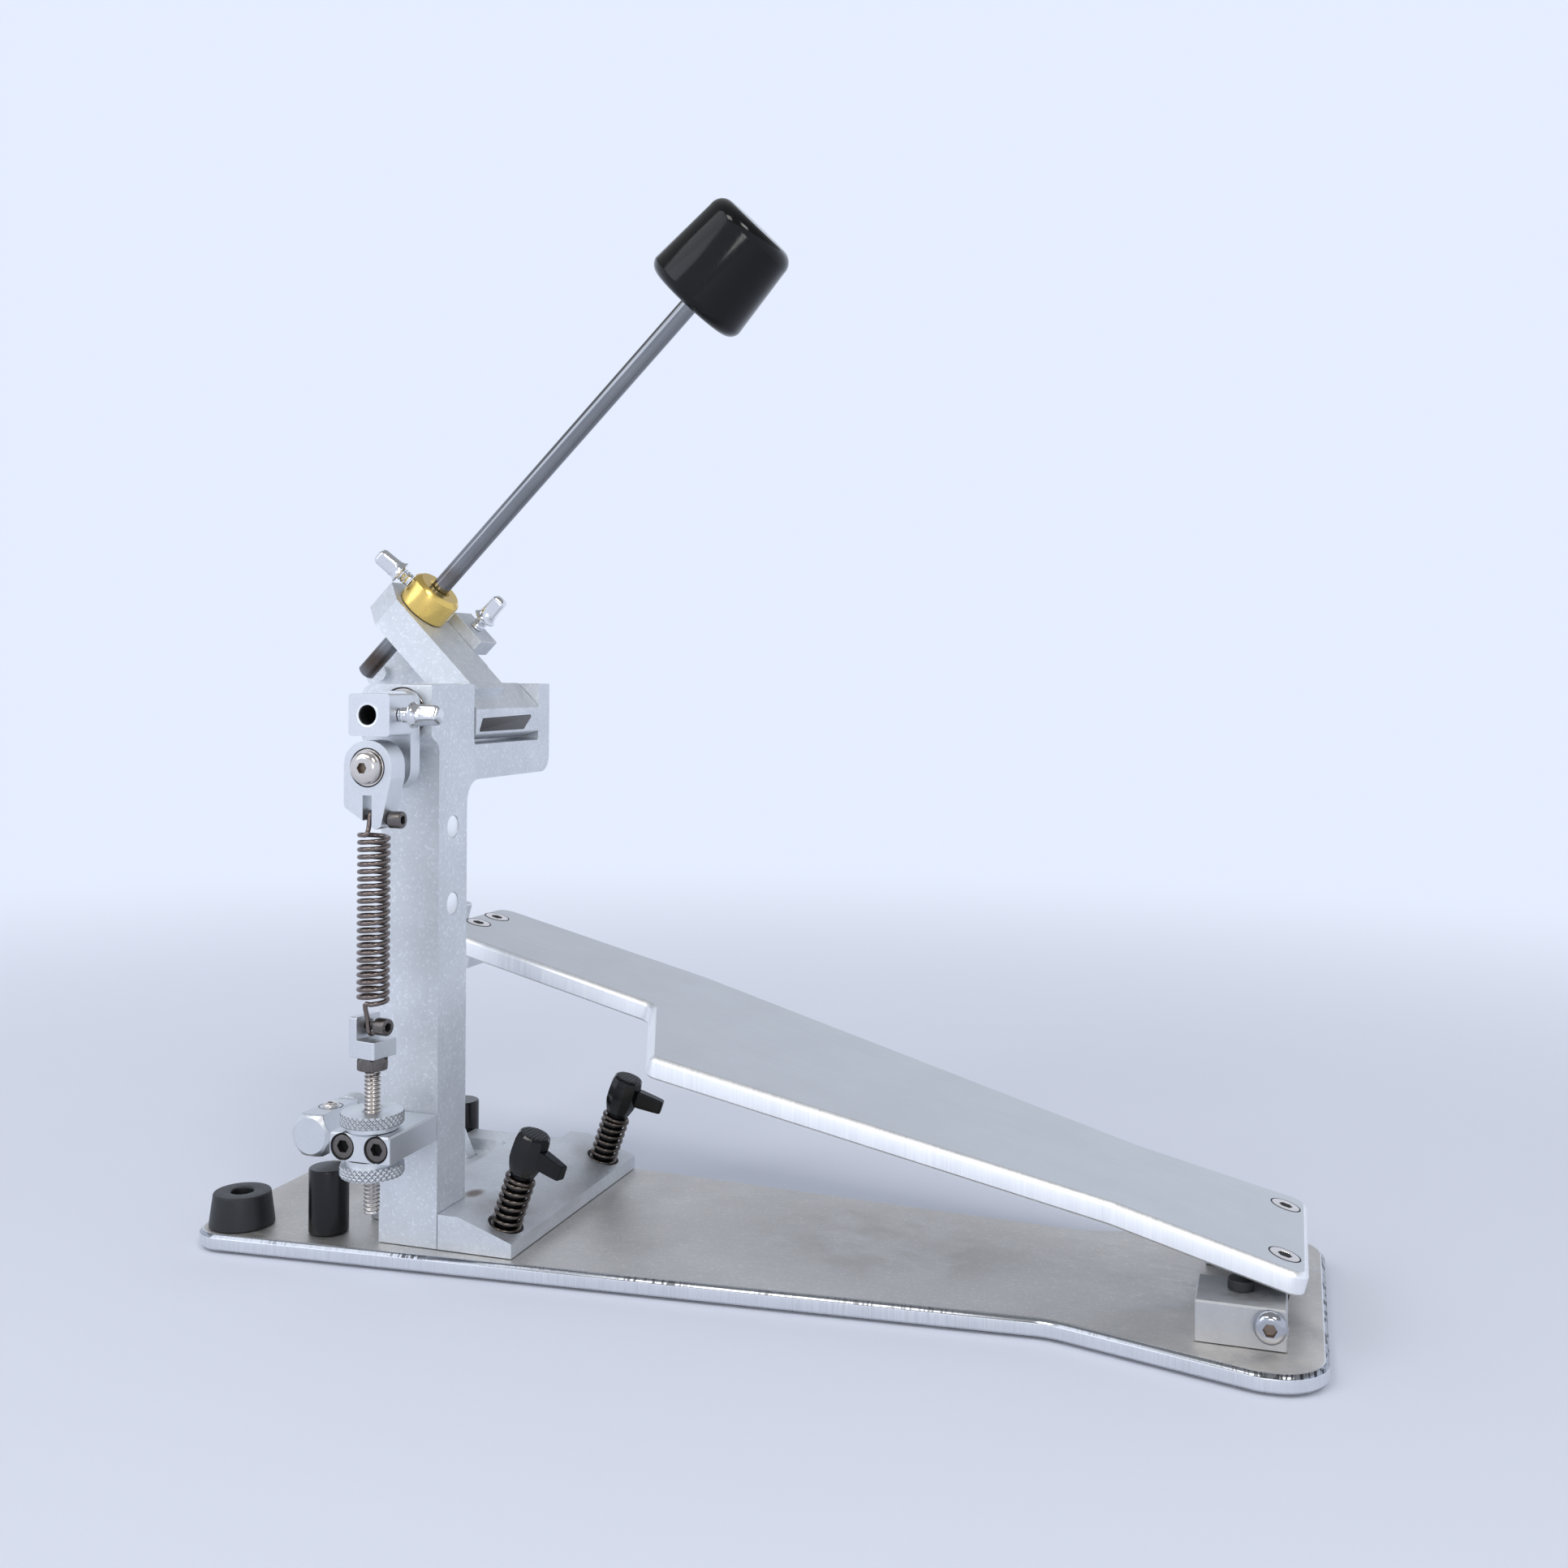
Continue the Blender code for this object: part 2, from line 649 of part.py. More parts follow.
def make_tower():
    """Post and fork in one piece, with bearing seats and two shallow spots."""
    front = rounded([
        (POST_Y0, SEAT, 0.0),
        (POST_Y1, SEAT, 0.0),
        (POST_Y1, WEB_Z0, 9.0 * MM),
        (EAR_Y1, WEB_Z0, 7.0 * MM),
        (EAR_Y1, FORK_TOP_Z, 0.8 * MM),
        (FORK_IN_Y1, FORK_TOP_Z, 0.8 * MM),
        (FORK_IN_Y1, WEB_Z1, 1.5 * MM),
        (FORK_IN_Y0, WEB_Z1, 1.5 * MM),
        (FORK_IN_Y0, FORK_TOP_Z, 0.8 * MM),
        (BOSS_Y0, FORK_TOP_Z, 0.8 * MM),
        (BOSS_Y0, BOSS_Z0, 3.0 * MM),
        (POST_Y0, BOSS_Z0 - 3.0 * MM, 4.0 * MM),
    ])
    rings = [[Vector((x, p.x, p.y)) for p in front] for x in (-POST_HX, POST_HX)]
    body = loft(rings)
    side = rounded([
        (BOSS_X0, BOSS_Z0 - 4.0 * MM, 5.0 * MM),
        (0.0, BOSS_Z0 - 4.0 * MM, 0.0),
        (0.0, FORK_TOP_Z, 0.0),
        (BOSS_X0, FORK_TOP_Z, 5.0 * MM),
    ])
    body = join(body, side_prism(side, BOSS_Y0, FORK_IN_Y0))
    near = at(0.0, BOSS_Y0, SHAFT_Z, "Y")
    far = at(0.0, EAR_Y1, SHAFT_Z, "-Y")
    seat = BEARING_W + 2 * GAP
    wide = BEARING_D + 2 * GAP
    through = SHAFT_D + 3.0 * MM
    depth = FORK_IN_Y0 - BOSS_Y0 + 1.0 * MM
    body = cut(
        body,
        drum(near, -1.0 * MM, seat, wide, 32),
        drum(far, -1.0 * MM, seat, wide, 32),
        drum(near, -1.0 * MM, depth, through),
        drum(far, -1.0 * MM, EAR_Y1 - FORK_IN_Y1 + 1.0 * MM, through),
    )
    for height in DIMPLE_ZS:
        spot = at(POST_HX, (POST_Y0 + POST_Y1) / 2, height, "-X")
        body = cut(body, drum(spot, -1.0 * MM, DIMPLE_DEPTH, DIMPLE_D))
    place("tower_post", body, "aluminium")
    for name, frame in (("bearing_near", near), ("bearing_far", far)):
        made = ring(frame, GAP, GAP + BEARING_W, BEARING_D, SHAFT_D + 2 * GAP, 0.5 * MM)
        place(name, made, "steel")


def wing_frame(side):
    """Frame of one wing screw, standing square on the slope of the wedge."""
    slope = math.atan2(WEDGE_TOP - WEDGE_HEEL_Z, WEDGE_HEEL_X - WEDGE_FLAT_X)
    drop = (WING_X - WEDGE_FLAT_X) * math.tan(slope)
    spot = Matrix.Translation((WING_X, side * WING_Y, WEDGE_TOP - drop))
    return spot @ Matrix.Rotation(slope, 4, "Y")


def make_clamp():
    """Clamp block with its wedge, shelf, pocket, arm slots and screw bores."""
    x0 = POST_HX + GAP
    wedge = [
        Vector((x0, SEAT)),
        Vector((WEDGE_HEEL_X, SEAT)),
        Vector((WEDGE_HEEL_X, WEDGE_HEEL_Z)),
        Vector((WEDGE_FLAT_X, WEDGE_TOP)),
        Vector((x0, WEDGE_TOP)),
    ]
    body = side_prism(wedge, POST_Y0, WEDGE_Y1)
    shelf = box(
        SHELF_X0, x0 + 1.0 * MM, POST_Y1 + GAP, SHELF_Y1, SEAT, WEDGE_TOP
    )
    body = join(body, shelf)
    pocket = rounded([
        (SHELF_X0 - 5.0 * MM, POST_Y1 - 5.0 * MM, 0.0),
        (POCKET_X1, POST_Y1 - 5.0 * MM, 0.0),
        (POCKET_X1, POCKET_Y1, 4.0 * MM),
        (SHELF_X0 - 5.0 * MM, POCKET_Y1, 0.0),
    ])
    body = cut(body, plan_prism(pocket, POCKET_Z, WEDGE_TOP + 1.0 * MM))
    slot = JAW_FOOT_R + 0.8 * MM
    pin = JAW_PIN_D + 2 * RUN
    for side in (-1, 1):
        inner = side * (JAW_ARM_Y - JAW_ARM_T - 0.5 * MM)
        outer = side * (JAW_ARM_Y + 0.5 * MM)
        y0, y1 = sorted((inner, outer))
        reach = JAW_PIN_OUT + GAP
        body = cut(
            body,
            box(JAW_PIVOT_X - slot - 9.0 * MM, JAW_PIVOT_X + slot, y0, y1,
                SEAT - 1.0 * MM, WEDGE_TOP),
            drum(at(JAW_PIVOT_X, y0 - reach, JAW_PIVOT_Z, "Y"), 0.0,
                 y1 - y0 + 2 * reach, pin, 16),
        )
        frame = wing_frame(side)
        body = cut(
            body,
            drum(frame, -WING_BORE_DEPTH, 8.0 * MM, WING_BORE_D),
            drum(frame, -7.0 * MM, 8.0 * MM, WING_SCREW_D + 2 * RUN),
        )
    place("clamp_block", body, "aluminium", smooth=False)


def make_wing(side, tag):
    """One wing screw with its knob and the spring under the knob."""
    frame = wing_frame(side)
    origin = frame.translation
    foot = GAP - WING_BORE_DEPTH
    knob = foot + WING_SPRING_L + WING_WIRE / 2 + GAP
    top = knob + KNOB_L
    screw = drum(frame, 0.6 * MM - 7.0 * MM, knob + 7.0 * MM, WING_SCREW_D)
    place("wing_screw_" + tag, screw, "steel", origin)
    barrel = turned([
        (knob, KNOB_D * 0.70, "round"),
        (knob + KNOB_L * 0.20, KNOB_D * 0.92, "round"),
        (knob + KNOB_L * 0.45, KNOB_D, "round"),
        (top - 1.2 * MM, KNOB_D * 0.96, "round"),
        (top, KNOB_D * 0.80, "round"),
    ], frame, 12)
    blade = box(
        0.0, KNOB_WING_L, -2.6 * MM, 2.6 * MM, knob + KNOB_L * 0.33, knob + KNOB_L * 0.76
    )
    swing = Matrix.Rotation(KNOB_TURNS[tag], 4, "Z")
    barrel = join(barrel, moved(blade, frame @ swing))
    bore = drum(frame, knob - 1.0 * MM, knob + 7.0 * MM + GAP, WING_SCREW_D + 2 * GAP)
    place("wing_knob_" + tag, cut(barrel, bore), "black_plastic", origin)
    radius = (WING_SPRING_OD - WING_WIRE) / 2
    low = foot + WING_WIRE / 2
    high = foot + WING_SPRING_L - WING_WIRE / 2
    points = helix(frame, radius, low, high, WING_TURNS)
    lead = (points[0] - points[1]).normalized() * WING_WIRE
    tail = (points[-1] - points[-2]).normalized() * WING_WIRE
    points = [points[0] + lead] + points + [points[-1] + tail]
    curl("clamp_spring_" + tag, points, WING_WIRE, "dark_steel", origin)


def make_jaw(side, tag):
    """One hoop jaw: a swinging arm with trunnions and a hexagonal bar."""
    pivot = (JAW_PIVOT_X, 0.0, JAW_PIVOT_Z)
    inner = side * (JAW_ARM_Y - JAW_ARM_T)
    outer = side * JAW_ARM_Y
    y0, y1 = sorted((inner, outer))
    along = Vector((JAW_X - JAW_PIVOT_X, JAW_Z - JAW_PIVOT_Z))
    heading = math.atan2(along.y, along.x)
    outline = []
    for centre, radius, turn in (
        (Vector((JAW_PIVOT_X, JAW_PIVOT_Z)), JAW_FOOT_R, math.pi),
        (Vector((JAW_X, JAW_Z)), JAW_ARM_R, 0.0),
    ):
        for step in range(13):
            angle = heading + turn - math.pi / 2 + math.pi * step / 12
            spoke = Vector((math.cos(angle), math.sin(angle)))
            outline.append(centre + spoke * radius)
    arm = side_prism(outline, y0, y1)
    pin = drum(
        at(JAW_PIVOT_X, y0 - JAW_PIN_OUT, JAW_PIVOT_Z, "Y"), 0.0,
        JAW_ARM_T + 2 * JAW_PIN_OUT, JAW_PIN_D, 16,
    )
    place("jaw_arm_" + tag, join(arm, pin), "aluminium", pivot)
    end = JAW_Y_OUT if side < 0 else JAW_Y_FAR
    length = end - JAW_ARM_Y - GAP
    frame = at(JAW_X, outer + side * GAP, JAW_Z, "Y" if side > 0 else "-Y")
    hexagon = turned([(0.0, JAW_AF, "hex"), (length, JAW_AF, "hex")], frame)
    wide = JAW_AF / math.cos(math.pi / 6) + 0.2 * MM
    round_end = turned([
        (-1.0 * MM, wide, "round"),
        (length - 2.6 * MM, wide, "round"),
        (length, JAW_AF * 0.86, "round"),
        (length + 1.0 * MM, JAW_AF * 0.4, "round"),
    ], frame)
    bar = boolean(hexagon, round_end, "INTERSECT")
    place("hex_jaw_" + tag, bar, "aluminium", pivot)


def make_stops(side, tag):
    """One rubber bumper and one hoop stop on the front of the base."""
    frame = at(BUMPER_X, side * BUMPER_Y, SEAT)
    deep = BUMPER_H * 0.4
    bumper = turned([
        (0.0, BUMPER_D0, "round"),
        (1.0 * MM, BUMPER_D0 + 0.4 * MM, "round"),
        (BUMPER_H - 1.6 * MM, BUMPER_D1, "round"),
        (BUMPER_H - 0.5 * MM, BUMPER_D1 - 0.9 * MM, "round"),
        (BUMPER_H, BUMPER_D1 - 2.6 * MM, "round"),
        (BUMPER_H, BUMPER_HOLE_D, "round"),
        (deep, BUMPER_HOLE_D, "round"),
    ], frame)
    place("bumper_" + tag, bumper, "rubber")
    frame = at(STOP_X, side * STOP_Y, SEAT)
    height = STOP_TOP - SEAT
    stop = turned([
        (0.0, STOP_D, "round"),
        (height - 0.6 * MM, STOP_D, "round"),
        (height, STOP_D - 1.2 * MM, "round"),
    ], frame)
    place("hoop_stop_" + tag, stop, "black_plastic")


def make_heel(side, tag):
    """One heel block and the button-head screw that carries the hinge."""
    y0, y1 = sorted((side * HEEL_Y_OUT, side * HEEL_Y_IN))
    plan = rounded([
        (HEEL_X0, y0, 0.8 * MM), (HEEL_X1, y0, 0.8 * MM),
        (HEEL_X1, y1, 0.8 * MM), (HEEL_X0, y1, 0.8 * MM),
    ])
    block = plan_prism(plan, SEAT, HEEL_TOP, 0.6 * MM)
    bore = drum(at(HINGE_X, y0 - 1.0 * MM, HINGE_Z, "Y"), 0.0,
                y1 - y0 + 2.0 * MM, HINGE_D + 2 * GAP)
    place("heel_block_" + tag, cut(block, bore), "aluminium")
    frame = at(HINGE_X, side * (HEEL_Y_OUT + GAP), HINGE_Z, "Y" if side > 0 else "-Y")
    shank = HEEL_Y_OUT - 4.0 * MM
    screw = socket_screw(frame, BUTTON_D, BUTTON_H, HINGE_D, shank, True)
    place("hinge_screw_" + tag, screw, "steel")
    pad = drum(at(PAD_X, side * PAD_Y, HEEL_TOP + GAP), 0.0, PAD_H, PAD_D)
    place("heel_pad_" + tag, pad, "rubber")


def board_frame():
    """Frame of the footboard: origin on the hinge axis, x towards the heel."""
    lift = Matrix.Translation((HINGE_X, 0.0, HINGE_Z))
    return lift @ Matrix.Rotation(TILT, 4, "Y")


def make_board():
    """Footboard with its hinge knuckle, flat screws and toe bracket."""
    frame = board_frame()
    hinge = (HINGE_X, 0.0, HINGE_Z)
    outline = rounded([
        (BOARD_HEEL, -BOARD_HEEL_HW, 6.0 * MM),
        (BOARD_HEEL, BOARD_HEEL_HW, 6.0 * MM),
        (BOARD_WAIST, BOARD_WAIST_HW, 12.0 * MM),
        (BOARD_STEP_IN, BOARD_WIDE_HW, 30.0 * MM),
        (BOARD_TOE, BOARD_WIDE_HW - 2.0 * MM, 8.0 * MM),
        (BOARD_TOE, BOARD_TOE_Y0, 8.0 * MM),
        (BOARD_STEP_IN, BOARD_TOE_Y0, 6.0 * MM),
        (BOARD_STEP_OUT, -BOARD_WIDE_HW, 5.0 * MM),
        (BOARD_WAIST, -BOARD_WAIST_HW, 12.0 * MM),
    ])
    body = plan_prism(outline, BOARD_Z0, BOARD_Z1, BOARD_CHAMFER)
    spots = [("heel_screw_near", 0.0, -HEEL_SCREW_Y), ("heel_screw_far", 0.0, HEEL_SCREW_Y)]
    for tag, y in zip("ab", TOE_SCREW_YS):
        spots.append(("toe_screw_" + tag, TOE_SCREW_X, y))
    for name, x, y in spots:
        spot = frame @ at(x, y, BOARD_Z1)
        body = cut(body, flat_hole(at(x, y, BOARD_Z1), BOARD_T + 1.0 * MM))
        screw = flat_screw(spot, BOARD_T - 0.8 * MM)
        place(name, screw, "steel", hinge)
    place("footboard", moved(body, frame), "aluminium", hinge)
    knuckle = box(
        KNUCKLE_X0, KNUCKLE_X1, -KNUCKLE_HW, KNUCKLE_HW, KNUCKLE_Z0, BOARD_Z0 - GAP
    )
    bore = drum(at(0.0, -KNUCKLE_HW - 1.0 * MM, 0.0, "Y"), 0.0,
                2 * KNUCKLE_HW + 2.0 * MM, HINGE_D + 2 * RUN)
    place("hinge_knuckle", moved(cut(knuckle, bore), frame), "black_plastic", hinge)
    place("toe_bracket", moved(bracket(), frame), "aluminium", hinge)


def bracket():
    """Forked block beyond the toe with its pin and a lip under the board."""
    start = BOARD_TOE - GAP
    slot0 = LINK_Y0 - CHEEK_PLAY
    slot1 = LINK_Y0 + LINK_T + CHEEK_PLAY
    y0 = slot0 - CHEEK_T
    y1 = slot1 + CHEEK_T
    side = rounded([
        (start, BRACKET_Z0, 0.0),
        (start, BRACKET_Z1, 1.0 * MM),
        (TOE_PIN_X - 6.0 * MM, BRACKET_Z1, 6.0 * MM),
        (TOE_PIN_X - 10.0 * MM, BRACKET_Z0, 6.0 * MM),
    ])
    body = side_prism(side, y0, y1)
    lip = box(start - 4.0 * MM, start + BRACKET_LIP, y0, BRACKET_LIP_Y1,
              BRACKET_Z0, BOARD_Z0 - GAP)
    body = join(body, lip)
    body = cut(body, box(TOE_PIN_X - 20.0 * MM, start - BRACKET_SOLID, slot0, slot1,
                         BRACKET_Z0 - 5.0 * MM, BRACKET_Z1 + 5.0 * MM))
    pin = drum(at(TOE_PIN_X, y0 - 1.0 * MM, TOE_PIN_Z, "Y"), 0.0,
               y1 - y0 + 2.0 * MM, TOE_PIN_D, 16)
    return join(body, pin)


def make_link():
    """Drive link from the lever pin down to the toe pin."""
    top = Vector((LEVER_PIN_X, LEVER_PIN_Z))
    toe = board_frame() @ Vector((TOE_PIN_X, 0.0, TOE_PIN_Z))
    low = Vector((toe.x, toe.z))
    along = (low - top).normalized()
    heading = math.atan2(along.y, along.x)
    outline = []
    for centre, turn in ((top, math.pi), (low, 0.0)):
        for step in range(13):
            angle = heading + turn - math.pi / 2 + math.pi * step / 12
            outline.append(centre + Vector((math.cos(angle), math.sin(angle))) * LINK_R)
    body = side_prism(outline, LINK_Y0, LINK_Y0 + LINK_T)
    start = LINK_Y0 - 1.0 * MM
    run = LINK_T + 2.0 * MM
    body = cut(
        body,
        drum(at(top.x, start, top.y, "Y"), 0.0, run, LEVER_PIN_D + 2 * RUN),
        drum(at(low.x, start, low.y, "Y"), 0.0, run, TOE_PIN_D + 2 * LINK_PLAY),
    )
    place("drive_link", body, "aluminium", (LEVER_PIN_X, 0.0, LEVER_PIN_Z))


def arm_frame():
    """Frame of the beater arm: x along the rod, z along the arm."""
    return Matrix.Translation((0.0, 0.0, SHAFT_Z)) @ Matrix.Rotation(-LEAN, 4, "Y")


def rod_frame():
    """Frame whose z axis is the rod axis, with zero abreast of the shaft."""
    offset = Matrix.Translation((0.0, ROD_Y, ROD_OFF))
    return arm_frame() @ offset @ Matrix.Rotation(math.pi / 2, 4, "Y")


def make_hub():
    """Hub block on the shaft with the beater arm standing on it."""
    shaft = (0.0, 0.0, SHAFT_Z)
    z = SHAFT_Z
    side = rounded([
        (HUB_HEEL_X, z - 9.0 * MM, 1.0 * MM),
        (HUB_HEEL_X, z + 1.2 * MM, 0.0),
        (3.0 * MM, z + 11.6 * MM, 0.0),
        (-10.0 * MM, z + 11.6 * MM, 2.0 * MM),
        (-HUB_R, z - 3.0 * MM, 3.0 * MM),
        (-6.0 * MM, z - 10.0 * MM, 3.0 * MM),
        (5.0 * MM, z - 11.6 * MM, 2.0 * MM),
    ])
    body = side_prism(side, HUB_Y0, HUB_Y1)
    plan = [
        (ARM_Y0, 0.0), (ARM_Y1, 0.0), (ARM_Y1, ARM_SHOULDER),
        (ARM_Y1 - ARM_CHAMFER_Y, ARM_END), (ARM_Y0 + ARM_CHAMFER_Y, ARM_END),
        (ARM_Y0, ARM_SHOULDER),
    ]
    arm = loft([[Vector((e, y, d)) for y, d in plan] for e in (ARM_E0, ARM_E1)])
    body = join(body, moved(arm, arm_frame()))
    body = cut(
        body,
        drum(at(0.0, HUB_Y0 - 1.0 * MM, z, "Y"), 0.0,
             HUB_Y1 - HUB_Y0 + 2.0 * MM, SHAFT_D + 2 * GAP),
        drum(rod_frame(), ARM_E0 - 5.0 * MM, ARM_E1 + 5.0 * MM, ROD_D + 2 * RUN),
    )
    place("beater_hub", body, "aluminium", shaft)
    axle = drum(at(0.0, SHAFT_Y0, z, "Y"), 0.0, SHAFT_Y1 - SHAFT_Y0, SHAFT_D)
    place("drive_shaft", axle, "steel", shaft)


def make_lever():
    """Drive lever on the far face of the arm, its clamp and clamp screw."""
    shaft = (0.0, 0.0, SHAFT_Z)
    y0 = ARM_Y1 + GAP
    y1 = y0 + LEVER_T
    local = arm_frame().inverted() @ Vector((LEVER_PIN_X, 0.0, LEVER_PIN_Z))
    low = local.x - 8.0 * MM
    plan = rounded([
        (LEVER_TOP_E, LEVER_ROOT, 1.0 * MM),
        (LEVER_TOP_E, LEVER_EDGE, 2.0 * MM),
        (low, LEVER_EDGE, 7.0 * MM),
        (low, local.z - 8.0 * MM, 7.0 * MM),
        (-11.0 * MM, LEVER_ROOT + 3.0 * MM, 3.0 * MM),
        (-11.0 * MM, LEVER_ROOT, 1.0 * MM),
    ])
    body = loft([[Vector((p.x, y, p.y)) for p in plan] for y in (y0, y1)])
    pin = drum(at(local.x, y0 - 3.0 * MM, local.z, "Y"), 0.0,
               LINK_Y0 + LINK_T + 1.5 * MM - y0 + 3.0 * MM, LEVER_PIN_D)
    place("drive_lever", moved(join(body, pin), arm_frame()), "aluminium", shaft)
    block = box(LEVER_TOP_E + GAP, CLAMP_E1, y0, y0 + CLAMP_W, CLAMP_D0, CLAMP_D1)
    place("lever_clamp", moved(block, arm_frame()), "aluminium", shaft, smooth=False)
    middle = (CLAMP_D0 + CLAMP_D1) / 2
    spot = arm_frame() @ at(CLAMP_E1 + GAP, y0 + CLAMP_W / 2, middle, "X")
    place("lever_key_screw", key_screw(spot), "chrome", shaft)


def make_beater():
    """Rod, beater head and the collar that marks the rod height."""
    frame = rod_frame()
    origin = frame @ Vector((0.0, 0.0, 0.0))
    rod = turned([
        (ROD_E0, ROD_D - 1.0 * MM, "round"),
        (ROD_E0 + 0.6 * MM, ROD_D, "round"),
        (ROD_E1, ROD_D, "round"),
    ], frame)
    place("beater_rod", rod, "dark_steel", origin)
    end = HEAD_E0 + HEAD_L
    arc = []
    for step in range(5):
        angle = math.pi / 2 * step / 4
        arc.append((1.0 - math.cos(angle), math.sin(angle)))
    stations = [
        (HEAD_E0 + HEAD_ROUND * (1.0 - rise), HEAD_D0 - 2 * HEAD_ROUND * fall, "round")
        for fall, rise in reversed(arc)
    ]
    stations += [
        (end - HEAD_ROUND * (1.0 - rise), HEAD_D1 - 2 * HEAD_ROUND * fall, "round")
        for fall, rise in arc
    ]
    head = turned(stations, frame, 32)
    bore = drum(frame, HEAD_E0 - 1.0 * MM, ROD_E1 + GAP, ROD_D + 2 * GAP)
    place("beater_head", cut(head, bore), "black_plastic", origin)
    low = ARM_E1 + GAP
    high = low + COLLAR_H
    inner = ROD_D + 2 * GAP
    collar = sleeve([
        (low, inner), (low, COLLAR_D - 0.8 * MM), (low + 0.4 * MM, COLLAR_D),
        (high - 2.2 * MM, COLLAR_D), (high - 0.6 * MM, COLLAR_D - 1.4 * MM),
        (high, COLLAR_D - 4.0 * MM), (high, inner),
    ], frame, 32)
    place("beater_collar", collar, "gold", origin)
    reach = Matrix.Translation((0.0, ROD_Y, ROD_OFF))
    swing = Matrix.Rotation(COLLAR_SCREW_TURN, 4, "X")
    spot = arm_frame() @ Matrix.Translation(((low + high) / 2, 0.0, 0.0)) @ reach @ swing
    spot = spot @ Matrix.Translation((0.0, 0.0, COLLAR_D / 2 + GAP))
    place("collar_key_screw", key_screw(spot), "chrome", origin)


def make_crank():
    """Coupler block, crank and crank pin on the near end of the shaft."""
    shaft = (0.0, 0.0, SHAFT_Z)
    z = SHAFT_Z
    pin_z = z - CRANK_R
    block = rounded([
        (COUPLER_X0, z - COUPLER_HZ, 1.2 * MM), (COUPLER_X1, z - COUPLER_HZ, 1.2 * MM),
        (COUPLER_X1, z + COUPLER_HZ, 1.2 * MM), (COUPLER_X0, z + COUPLER_HZ, 1.2 * MM),
    ])
    body = side_prism(block, COUPLER_Y0, COUPLER_Y1 + 1.0 * MM)
    plate = rounded([
        (-CRANK_HW, pin_z - CRANK_HW, 8.0 * MM), (CRANK_HW, pin_z - CRANK_HW, 8.0 * MM),
        (CRANK_HW, z + 8.8 * MM, 4.0 * MM), (-CRANK_HW, z + 8.8 * MM, 4.0 * MM),
    ])
    body = join(body, side_prism(plate, COUPLER_Y1, CRANK_Y1))
    face = SPRING_Y - LEVER2_T / 2
    rear = SPRING_Y + LEVER2_T / 2
    body = join(
        body,
        drum(at(0.0, face - GAP, pin_z, "Y"), 0.0,
             CRANK_Y1 - face - 1.0 * MM, CRANK_PIN_D),
        drum(at(0.0, rear + 2 * GAP, pin_z, "Y"), 0.0,
             COUPLER_Y1 - rear + 1.0 * MM, CRANK_PIN_D + 4.0 * MM),
    )
    body = cut(
        body,
        drum(at(0.0, COUPLER_Y0 - 1.0 * MM, z, "Y"), 0.0, 20.0 * MM, COUPLER_HOLE_D),
        drum(at(0.0, SHAFT_Y0 - GAP, z, "Y"), 0.0, 20.0 * MM, SHAFT_D + 2 * GAP),
    )
    place("crank_coupler", body, "aluminium", shaft)
    spot = at(COUPLER_X1 + GAP, (COUPLER_Y0 + COUPLER_Y1) / 2, z, "X")
    place("coupler_key_screw", key_screw(spot), "chrome", shaft)
    spot = at(0.0, face - 2 * GAP, pin_z, "-Y")
    head = socket_screw(spot, CRANK_HEAD_D, BUTTON_H, CRANK_PIN_D * 0.6, 0.1 * MM, True)
    place("crank_pin_screw", head, "steel", shaft)


